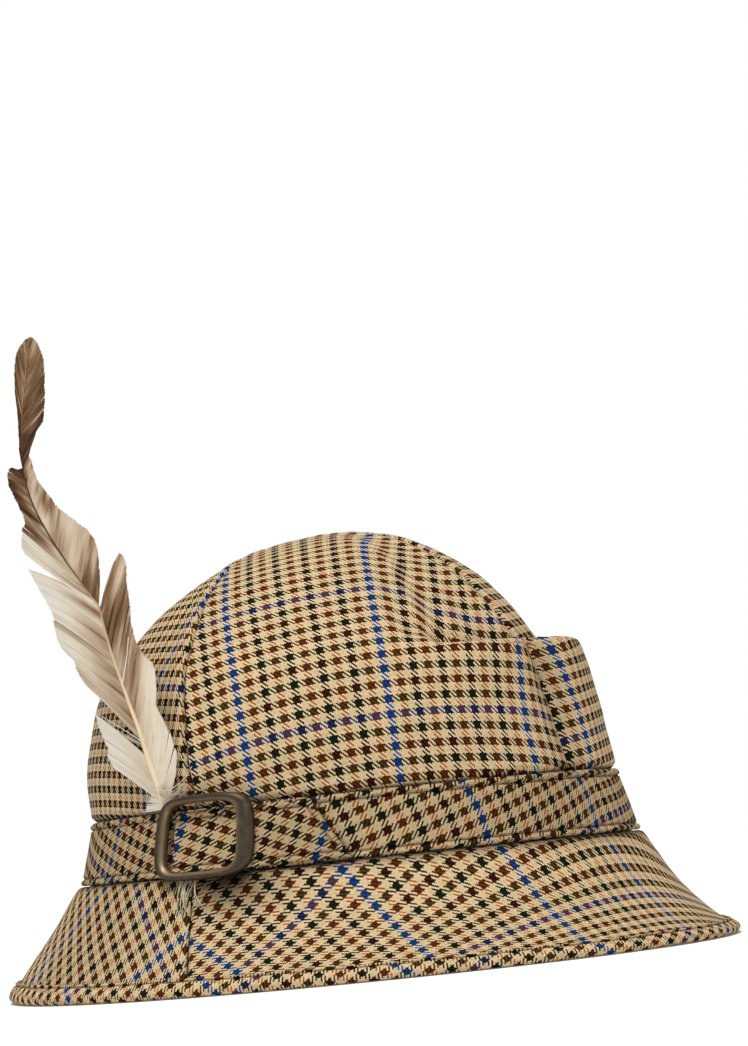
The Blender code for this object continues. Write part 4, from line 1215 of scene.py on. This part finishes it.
barbs = {
    "spacing": 0.00014,
    "width": 0.00050,
    "ridge": 0.00006,
    "shingle": 0.00012,     # how far each barb's upper edge stands off the next barb
    "clump": 9,             # barbs that cling together
    "cling": 0.14,
    "overlap": 0.0035,      # how far each lock runs on under the next
    "cup": 0.0011,
    "cupWidth": 0.16,
    "clumpLift": 0.00012,
    "ownLift": 0.00003,
    "scatter": 0.6,         # of the roots, over the barbs' spacing
    "tipScatter": 0.0005,
    "bowScatter": 0.004,
    "ragged": (0.016, 0.009),  # how much shorter single barbs are, and whole clumps
    "stray": 0.015,         # share of the barbs that are broken off short
    "broken": 0.10,
    "widths": (0.85, 1.15),
    "thinning": 0.30,       # of each barb towards its tip
    "toneChange": (0.05, 0.85),  # along the barb, from the root's tone to the tip's
    "streak": 0.10,         # how much the clumps differ in tone, and the barbs in each
    "grain": 0.05,
    "roughness": 0.7,
    "tint": colour(1.0, 1.0, 1.0),
    "seed": 12,
    # locks of barbs, each with its lift off the vane and its bow, then rows in order up the shaft:
    # rise at the root; back and rise at the tip; tone at the root and at the tip
    "locks": (
        (0.0000, -0.030,
         ((0.008, 0.048, 0.011, 0.16, 0.04), (0.016, 0.033, 0.031, 0.18, 0.05))),
        (0.0002, -0.035,
         ((0.014, 0.130, 0.104, 0.16, 0.05), (0.028, 0.141, 0.123, 0.20, 0.03),
          (0.047, 0.137, 0.141, 0.22, 0.02), (0.068, 0.146, 0.161, 0.24, 0.03),
          (0.086, 0.156, 0.184, 0.22, 0.06), (0.103, 0.160, 0.209, 0.20, 0.02))),
        (0.0000, -0.030,
         ((0.142, 0.160, 0.261, 0.34, 0.22), (0.155, 0.181, 0.278, 0.48, 0.24),
          (0.170, 0.195, 0.296, 0.52, 0.30), (0.189, 0.203, 0.315, 0.48, 0.24),
          (0.203, 0.205, 0.328, 0.44, 0.12))),
        (0.0003, -0.030,
         ((0.205, 0.212, 0.337, 0.42, 0.20), (0.218, 0.231, 0.352, 0.44, 0.08),
          (0.237, 0.241, 0.362, 0.48, 0.04), (0.256, 0.250, 0.382, 0.40, 0.02),
          (0.277, 0.253, 0.401, 0.46, 0.06), (0.296, 0.254, 0.417, 0.40, 0.48))),
        (0.0000, -0.055,
         ((0.298, 0.252, 0.419, 0.46, 0.10), (0.324, 0.259, 0.439, 0.40, 0.03),
          (0.354, 0.271, 0.462, 0.52, 0.02), (0.383, 0.291, 0.494, 0.20, 0.02),
          (0.408, 0.303, 0.517, 0.62, 0.06), (0.425, 0.310, 0.529, 0.08, 0.05),
          (0.432, 0.313, 0.533, 0.60, 0.12))),
        (0.0003, 0.025,
         ((0.436, 0.316, 0.571, 0.04, 0.10), (0.444, 0.324, 0.583, 0.55, 0.08),
          (0.458, 0.323, 0.593, 0.34, 0.14), (0.476, 0.318, 0.603, 0.28, 0.08),
          (0.495, 0.317, 0.612, 0.30, 0.03))),
        (0.0000, 0.000,
         ((0.497, 0.317, 0.614, 0.34, 0.30), (0.513, 0.316, 0.621, 0.26, 0.66),
          (0.532, 0.307, 0.629, 0.22, 0.78), (0.553, 0.304, 0.637, 0.44, 0.72))),
        (0.0003, 0.000,
         ((0.553, 0.304, 0.637, 0.34, 0.66), (0.576, 0.307, 0.648, 0.58, 0.30),
          (0.600, 0.316, 0.665, 0.30, 0.86), (0.623, 0.324, 0.681, 0.60, 0.92),
          (0.646, 0.334, 0.699, 0.34, 0.84), (0.669, 0.343, 0.716, 0.72, 0.80),
          (0.684, 0.345, 0.727, 0.60, 0.78))),
        (0.0000, -0.100,
         ((0.682, 0.346, 0.729, 0.50, 0.80), (0.696, 0.347, 0.742, 0.78, 0.62),
          (0.709, 0.340, 0.752, 0.52, 0.86), (0.724, 0.330, 0.752, 0.92, 0.80),
          (0.741, 0.319, 0.744, 0.95, 0.90))),
        (0.0000, 0.030,
         ((0.008, -0.026, 0.028, 0.12, 0.06), (0.014, -0.041, 0.059, 0.12, 0.10),
          (0.022, -0.053, 0.094, 0.14, 0.10), (0.032, -0.055, 0.116, 0.15, 0.10),
          (0.049, -0.046, 0.151, 0.16, 0.10), (0.062, -0.032, 0.182, 0.17, 0.12),
          (0.070, -0.026, 0.190, 0.17, 0.10), (0.088, -0.016, 0.215, 0.18, 0.12),
          (0.100, -0.022, 0.250, 0.20, 0.14),
          (0.113, -0.024, 0.286, 0.20, 0.14), (0.136, -0.017, 0.301, 0.22, 0.12),
          (0.159, -0.006, 0.308, 0.26, 0.14), (0.180, -0.000, 0.313, 0.36, 0.20),
          (0.201, 0.008, 0.326, 0.46, 0.40), (0.222, 0.013, 0.337, 0.48, 0.56))),
        (0.0006, 0.020,
         ((0.224, 0.015, 0.344, 0.42, 0.54), (0.248, 0.019, 0.360, 0.44, 0.52),
          (0.273, 0.023, 0.389, 0.42, 0.56), (0.301, 0.020, 0.426, 0.46, 0.56),
          (0.328, 0.024, 0.459, 0.60, 0.66), (0.351, 0.023, 0.493, 0.70, 0.56),
          (0.372, 0.023, 0.512, 0.66, 0.22), (0.392, 0.031, 0.523, 0.72, 0.42),
          (0.408, 0.037, 0.529, 0.66, 0.60), (0.419, 0.054, 0.510, 0.72, 0.55))),
        (0.0000, 0.015,
         ((0.436, 0.101, 0.488, 0.82, 0.74), (0.444, 0.098, 0.519, 0.78, 0.66),
          (0.455, 0.100, 0.544, 0.60, 0.40), (0.471, 0.107, 0.567, 0.74, 0.52),
          (0.492, 0.124, 0.589, 0.36, 0.34), (0.516, 0.144, 0.604, 0.30, 0.30),
          (0.541, 0.168, 0.622, 0.44, 0.26), (0.565, 0.190, 0.638, 0.50, 0.30),
          (0.581, 0.202, 0.646, 0.52, 0.46))),
        (0.0002, 0.030,
         ((0.581, 0.203, 0.649, 0.46, 0.30), (0.602, 0.217, 0.666, 0.30, 0.60),
          (0.630, 0.232, 0.685, 0.26, 0.56), (0.655, 0.245, 0.700, 0.30, 0.40),
          (0.678, 0.258, 0.719, 0.30, 0.28), (0.702, 0.264, 0.735, 0.44, 0.30),
          (0.724, 0.269, 0.757, 0.60, 0.40), (0.741, 0.277, 0.769, 0.80, 0.66))),
        (0.0000, 0.030,
         ((0.733, 0.303, 0.782, 0.95, 0.92), (0.758, 0.301, 0.807, 0.92, 0.90),
          (0.788, 0.299, 0.858, 0.86, 0.84), (0.817, 0.302, 0.901, 0.80, 0.80),
          (0.847, 0.302, 0.935, 0.86, 0.72), (0.876, 0.298, 0.967, 0.62, 0.66),
          (0.904, 0.289, 0.991, 0.50, 0.66), (0.933, 0.275, 1.005, 0.54, 0.64),
          (0.957, 0.258, 1.013, 0.58, 0.62), (0.986, 0.244, 1.015, 0.60, 0.56))),
        (0.0003, 0.030,
         ((0.741, 0.267, 0.788, 0.95, 0.80), (0.763, 0.250, 0.811, 0.92, 0.74),
          (0.779, 0.241, 0.822, 0.90, 0.86), (0.796, 0.223, 0.835, 0.76, 0.80),
          (0.817, 0.217, 0.860, 0.66, 0.72), (0.839, 0.212, 0.891, 0.72, 0.80),
          (0.867, 0.208, 0.928, 0.72, 0.66), (0.896, 0.207, 0.960, 0.60, 0.68),
          (0.929, 0.214, 0.982, 0.70, 0.62), (0.957, 0.225, 1.003, 0.62, 0.40),
          (0.986, 0.238, 1.014, 0.60, 0.56))),
    ),
    # faint bars across the pale vane, up to the root that they end at
    "bars": (0.100, 0.148, 0.172, 0.214, 0.228, 0.296),
    "barTone": 0.10,
    "barWidth": 0.0022,
    "barEnd": 0.17,
    # loose barbs: rise at the root, back and rise at the tip, bow, width
    "strays": ((0.143, 0.176, 0.226, -0.03, 0.00034), (0.140, 0.215, 0.232, 0.02, 0.00010),
               (0.136, 0.159, 0.214, 0.04, 0.00030), (0.130, 0.168, 0.200, -0.04, 0.00024),
               (0.262, 0.032, 0.356, 0.06, 0.00042),
               (0.052, 0.138, 0.136, 0.06, 0.00014), (0.046, 0.140, 0.128, -0.05, 0.00012),
               (0.040, 0.146, 0.124, 0.04, 0.00012), (0.034, 0.139, 0.119, 0.08, 0.00012)),
    "strayOut": 0.0007,
    "strayTone": 0.02,
}
barbShare = np.linspace(0, 1, 9)  # the stations along each barb


def ribbons(paths, widths, outs, tones):
    # paths: barbs by stations by (back, rise); each barb is a ribbon with a low ridge
    along = unit(np.gradient(paths, axis=1))
    square = np.stack([-along[..., 1], along[..., 0]], -1)
    square = square * np.sign(square[..., 1:2] + 1e-9)
    half = (widths / feather["length"] / 2)[..., None]
    rails = []
    for side, lift in ((-1, -barbs["shingle"] / 2), (0, barbs["ridge"]), (1, barbs["shingle"] / 2)):
        place = paths + square * half * side
        rails.append(featherPoint(place[..., 0], place[..., 1], outs + lift))
    count, stations = paths.shape[:2]
    index = np.arange(count * stations * 3).reshape(count, stations, 3)
    faces = []
    for rail in range(2):
        quad = [index[:, :-1, rail], index[:, 1:, rail], index[:, 1:, rail + 1], index[:, :-1, rail + 1]]
        faces.append(np.stack(quad, -1).reshape(-1, 4))
    return np.stack(rails, 2).reshape(-1, 3), np.concatenate(faces), np.repeat(tones.reshape(-1), 3)


def bowed(roots, tips, bow):
    chord = tips - roots
    side = np.where(chord[:, :1] > 0, 1.0, -1.0)
    outwards = np.stack([chord[:, 1], -chord[:, 0]], -1) * side
    middle = (roots + tips) / 2 + outwards * bow[:, None]
    s = barbShare[None, :, None]
    return (1 - s) ** 2 * roots[:, None] + 2 * s * (1 - s) * middle[:, None] + s ** 2 * tips[:, None]


def columnsAt(table, rise, places):
    return [np.interp(rise, table[:, 0], table[:, place]) for place in places]


def layLock(rng, lift, lean, rows):
    # one lock's barbs; its first and last rows run on a little under the next locks
    table = np.array(rows)
    count = int((table[-1, 0] - table[0, 0]) * feather["length"] / barbs["spacing"]) + 8
    for end, inward in ((0, 1), (-1, -2)):
        pace = (table[end] - table[inward]) / abs(table[end, 0] - table[inward, 0])
        table[end] = table[end] + pace * np.array([1, 1, 1, 0, 0]) * barbs["overlap"]
    spread = (table[-1, 0] - table[0, 0]) / count
    base = np.linspace(table[0, 0], table[-1, 0], count)
    base = base + rng.uniform(-1, 1, count) * barbs["scatter"] * spread
    sizes = rng.integers(barbs["clump"] // 2, barbs["clump"] * 2, count)
    clump = np.searchsorted(np.cumsum(sizes), np.arange(count), side="right")
    centre = np.array([base[clump == k].mean() for k in clump])
    tips = np.stack(columnsAt(table, mix(base, centre, barbs["cling"]), (1, 2)), -1)
    roots = np.stack([shaftAt(base), base], -1)
    own, shared = barbs["ragged"]
    reach = 1 - own * rng.random(count) ** 3 - shared * rng.random(count)[clump]
    reach = reach - (rng.random(count) < barbs["stray"]) * barbs["broken"] * rng.random(count)
    tips = roots + (tips - roots) * reach[:, None]
    tips = tips + rng.normal(0, barbs["tipScatter"], tips.shape)
    paths = bowed(roots, tips, lean + rng.normal(0, barbs["bowScatter"], count))
    streak = rng.normal(0, barbs["streak"], count)[clump] + rng.normal(0, barbs["grain"], count)
    atRoot, atTip = columnsAt(table, base, (3, 4))
    tones = mix(atRoot[:, None], atTip[:, None], smooth(*barbs["toneChange"], barbShare))
    dark = np.clip(tones * 2.2, 0.25, 1.2)
    tones = tones + streak[:, None] * dark * (0.4 + 0.6 * np.sin(barbShare * 5 + clump[:, None] * 2.1))
    pale = (paths[..., 0] < shaftAt(paths[..., 1])) & (base[:, None] < barbs["barEnd"])
    for bar in barbs["bars"]:
        tones = tones + barbs["barTone"] * bell(paths[..., 1] - bar, barbs["barWidth"]) * pale
    width = barbs["width"] * (1 - barbs["thinning"] * barbShare ** 4)
    width = width * rng.uniform(*barbs["widths"], count)[:, None]
    fromShaft = np.abs(paths[..., 0] - shaftAt(paths[..., 1]))
    outs = lift * smooth(0, 0.05, fromShaft) - barbs["cup"] * (fromShaft / barbs["cupWidth"]) ** 2
    outs = outs + barbs["clumpLift"] * np.sin(clump * 1.7)[:, None] * barbShare
    outs = outs + rng.normal(0, barbs["ownLift"], count)[:, None]
    return paths, width, outs, tones


def layStrays():
    table = np.array(barbs["strays"])
    roots = np.stack([shaftAt(table[:, 0]), table[:, 0]], -1)
    paths = bowed(roots, table[:, 1:3], table[:, 3])
    width = table[:, 4:5] * (1 - 0.5 * barbShare)
    return paths, width, barbs["strayOut"] + 0 * width, barbs["strayTone"] + 0 * width


down = {
    "strands": 38,
    "root": (0.008, 0.05),
    "ahead": 0.004,         # of the shaft, in feather lengths
    "tips": ((-0.045, 0.036), (-0.070, 0.058), (-0.097, 0.074), (-0.088, 0.050), (-0.060, 0.030)),
    "length": (0.5, 1.05),
    "spread": 0.008,
    "bow": (0.26, 0.06),
    "curl": 0.0007,
    "width": 0.00026,
    "out": (0.0006, 0.0022),
    "tone": (0.02, 0.24),
}


def layDown(rng):
    count = down["strands"]
    pick = rng.integers(0, len(down["tips"]), count)
    tips = np.array(down["tips"])[pick] * rng.uniform(*down["length"], count)[:, None]
    tips = tips + rng.normal(0, down["spread"], tips.shape)
    base = rng.uniform(*down["root"], count)
    roots = np.stack([shaftAt(base) - down["ahead"], base], -1)
    paths = bowed(roots, tips, rng.normal(*down["bow"], count))
    s = barbShare[:, None]
    paths = paths + down["curl"] * np.sin(s * 9 + rng.uniform(0, 6, (count, 1, 2))) * s
    width = np.repeat(down["width"] * (1 - 0.6 * barbShare)[None], count, 0)
    tone = rng.uniform(*down["tone"], count)[:, None] + 0 * width
    return paths, width, rng.uniform(*down["out"], count)[:, None] + 0 * width, tone


def buildBarbs():
    rng = np.random.default_rng(barbs["seed"])
    parts = [layLock(rng, *lock) for lock in barbs["locks"]] + [layStrays(), layDown(rng)]
    made = [ribbons(*part) for part in parts]
    verts, faces = joined([ribbon[:2] for ribbon in made])
    plume = growPlume("plume", barbs["roughness"], barbs["tint"])
    piece = makePiece("feather_barbs", verts, faces, plume, "plume", ["feather"], sharp=80.0)
    paint(piece, "tone", np.concatenate([ribbon[2] for ribbon in made]))


shaft = {
    "start": 0.0049,
    "rows": 90,
    "stations": 170,
    "sides": 12,
    "out": 0.0002,
    "depth": 0.46,          # half its thickness over its width, and the same behind the buckle
    "quillDepth": 0.40,
    # rise, then the shaft's width, and its tone
    "width": ((0.0, 0.00245, 0.10), (0.12, 0.00175, 0.12), (0.25, 0.00115, 0.18), (0.40, 0.00070, 0.34),
              (0.48, 0.00055, 0.55), (0.56, 0.00050, 0.90), (0.75, 0.00045, 0.85), (0.90, 0.00035, 0.45),
              (1.0, 0.00020, 0.5)),
    # where it goes on behind the buckle: angle, rise on the band, out, width
    "quill": ((94.6, 0.0140, 0.0014, 0.0012), (94.5, 0.0160, 0.0015, 0.0020),
              (94.3, 0.0180, 0.0016, 0.0023), (94.0, 0.0200, 0.0016, 0.0024)),
    "roughness": 0.42,
    "tint": colour(1.0, 0.93, 0.80),
}


def buildShaft():
    rises = np.linspace(shaft["start"], 1.0, shaft["rows"])
    width, tone = columnsAt(np.array(shaft["width"]), rises, (1, 2))
    angle, rise, out, quillWidth = np.array(shaft["quill"]).T
    spine = featherPoint(shaftAt(rises), rises, shaft["out"] + 0 * rises)
    spine = np.concatenate([bandPoint(angle, rise, out), spine])
    width = np.concatenate([quillWidth, width])
    tone = np.concatenate([tone[0] + 0 * angle, tone])
    spots = np.arange(len(spine))
    finer = np.linspace(0, spots[-1], shaft["stations"])
    spine = np.stack([spline(spots, spine[:, k], finer) for k in range(3)], -1)
    width, tone = np.interp(finer, spots, width)[:, None], np.interp(finer, spots, tone)
    along = unit(np.gradient(spine, axis=0))
    side = unit(np.cross(along, np.array([1.0, 0, 0])))
    face = np.cross(side, along)
    turn = np.linspace(0, 2 * math.pi, shaft["sides"], endpoint=False)[:, None, None]
    depth = np.where(finer < len(angle), shaft["quillDepth"], shaft["depth"])[:, None]
    points = spine + side * np.cos(turn) * width / 2 + face * np.sin(turn) * width * depth
    cloth = np.zeros((*points.shape[:2], 2))
    plume = growPlume("quill", shaft["roughness"], shaft["tint"])
    piece = loft("feather_shaft", points, cloth, plume, "plume", ["feather"])
    paint(piece, "tone", np.tile(tone, shaft["sides"]))


# Camera, floor and lights

camera = {
    "azimuth": 48.8,
    "distance": 1.0,
    "height": 0.039,
    "focal": 2823.0,        # in the photo's pixels
    "crop": 1.0068,
    "roll": 5.8,
    "frame": (748, 1046),
    "brimMiddle": (354, 796),  # where the camera's level axis meets the picture, before the roll
    "below": 56,
    "sensor": 36.0,
    "clip": (0.05, 50.0),
}


def placeCamera():
    turn = math.radians(camera["azimuth"])
    ahead = Vector((math.sin(turn), math.cos(turn), 0))
    right = Vector((math.cos(turn), -math.sin(turn), 0))
    up = Vector((0, 0, 1))
    roll = math.radians(camera["roll"])
    levelRight = (math.cos(roll), -math.sin(roll))
    levelUp = (-math.sin(roll), -math.cos(roll))
    axis = [camera["brimMiddle"][k] - levelUp[k] * camera["below"] for k in range(2)]
    offset = [camera["frame"][k] / 2 - axis[k] for k in range(2)]
    sideways = offset[0] * levelRight[0] + offset[1] * levelRight[1]
    upwards = offset[0] * levelUp[0] + offset[1] * levelUp[1]
    aim = (ahead + right * (sideways / camera["focal"]) + up * (upwards / camera["focal"])).normalized()
    acrossAxis = (right - aim * right.dot(aim)).normalized()
    upAxis = acrossAxis.cross(aim)
    pictureRight = (acrossAxis * levelRight[0] + upAxis * levelUp[0]).normalized()
    pictureUp = pictureRight.cross(aim)
    matrix = Matrix((pictureRight, pictureUp, -aim)).transposed().to_4x4()
    matrix.translation = Vector((0, hat["centreY"], camera["height"])) - ahead * camera["distance"]
    data = bpy.data.cameras.new("camera")
    data.sensor_width = camera["sensor"]
    data.lens = camera["focal"] * camera["crop"] / max(camera["frame"]) * camera["sensor"]
    data.clip_start, data.clip_end = camera["clip"]
    seen = addObject("camera", data)
    seen.matrix_world = matrix
    bpy.context.scene.camera = seen
    return ahead, right


light = {
    "sky": 0.37,
    "backdrop": 1.0,        # what the camera sees behind the hat
    "sun": 2.95,
    "softness": 26.0,
    "from": (-0.33, -0.12, 0.97),  # ahead of the camera, to its right, up
    "sunTint": (1.0, 0.985, 0.96),
    "floor": 0.90,
    "floorGlow": 0.10,
    "floorHalf": 6.0,
    "floorRoughness": 0.9,
}


def addSun(ahead, right):
    data = bpy.data.lights.new("key", "SUN")
    data.energy = light["sun"]
    data.angle = math.radians(light["softness"])
    data.color = light["sunTint"]
    lamp = addObject("key", data)
    place = ahead * light["from"][0] + right * light["from"][1] + Vector((0, 0, light["from"][2]))
    lamp.location = place
    lamp.rotation_euler = (-place).to_track_quat("-Z", "Y").to_euler()


def lightWorld():
    world = bpy.data.worlds.new("studio")
    bpy.context.scene.world = world
    world.use_nodes = True
    tree = world.node_tree
    background = tree.nodes["Background"]
    background.inputs[0].default_value = colour(1.0, 1.0, 1.0)
    seen = Wire(tree, background.outputs[0]).add("ShaderNodeLightPath")
    plug(light["sky"] + seen * (light["backdrop"] - light["sky"]), background, "Strength")


def layFloor():
    half = light["floorHalf"]
    mesh = bpy.data.meshes.new("floor")
    corners = [(-half, -half, 0), (half, -half, 0), (half, half, 0), (-half, half, 0)]
    mesh.from_pydata(corners, [], [(0, 1, 2, 3)])
    material, _, shader = startMaterial("floor_paint", light["floorRoughness"])
    shader.inputs["Base Color"].default_value = colour(light["floor"], light["floor"], light["floor"])
    shader.inputs["Emission Color"].default_value = colour(1.0, 1.0, 1.0)
    shader.inputs["Emission Strength"].default_value = light["floorGlow"]
    mesh.materials.append(material)
    addObject("floor", mesh)


print("stage and camera")
ahead, right = placeCamera()
layFloor()
addSun(ahead, right)
lightWorld()
bpy.context.scene.view_settings.view_transform = "Standard"

print("cloth")
crownWool = weaveCloth("crown_wool", wool["crownTint"])
brimWool = weaveCloth("brim_wool", wool["brimTint"])
# the band's copy of the wool is darkened: painted shade
bandWool = weaveCloth("band_wool", wool["bandShadedTint"])

print("crown")
seam = crown["sideSeam"]
buildGore("crown_front_right", 0.0, seam, crown["frontMiddle"], crownWool)
buildGore("crown_front_left", 0.0, -seam, -crown["frontMiddle"], crownWool)
buildGore("crown_back_right", seam, 180.0, crown["backMiddle"], crownWool)
buildGore("crown_back_left", -seam, -180.0, -crown["backMiddle"], crownWool)

print("brim")
buildBrim("brim_front", True, 0.0, brimWool)
buildBrim("brim_back", False, 180.0, brimWool)
buildBinding(brimWool)
buildStitches()
buildFray()

print("band and buckle")
buildBand(bandWool)
buildStrap(bandWool)
buildBuckle(castBronze())

print("feather")
buildBarbs()
buildShaft()
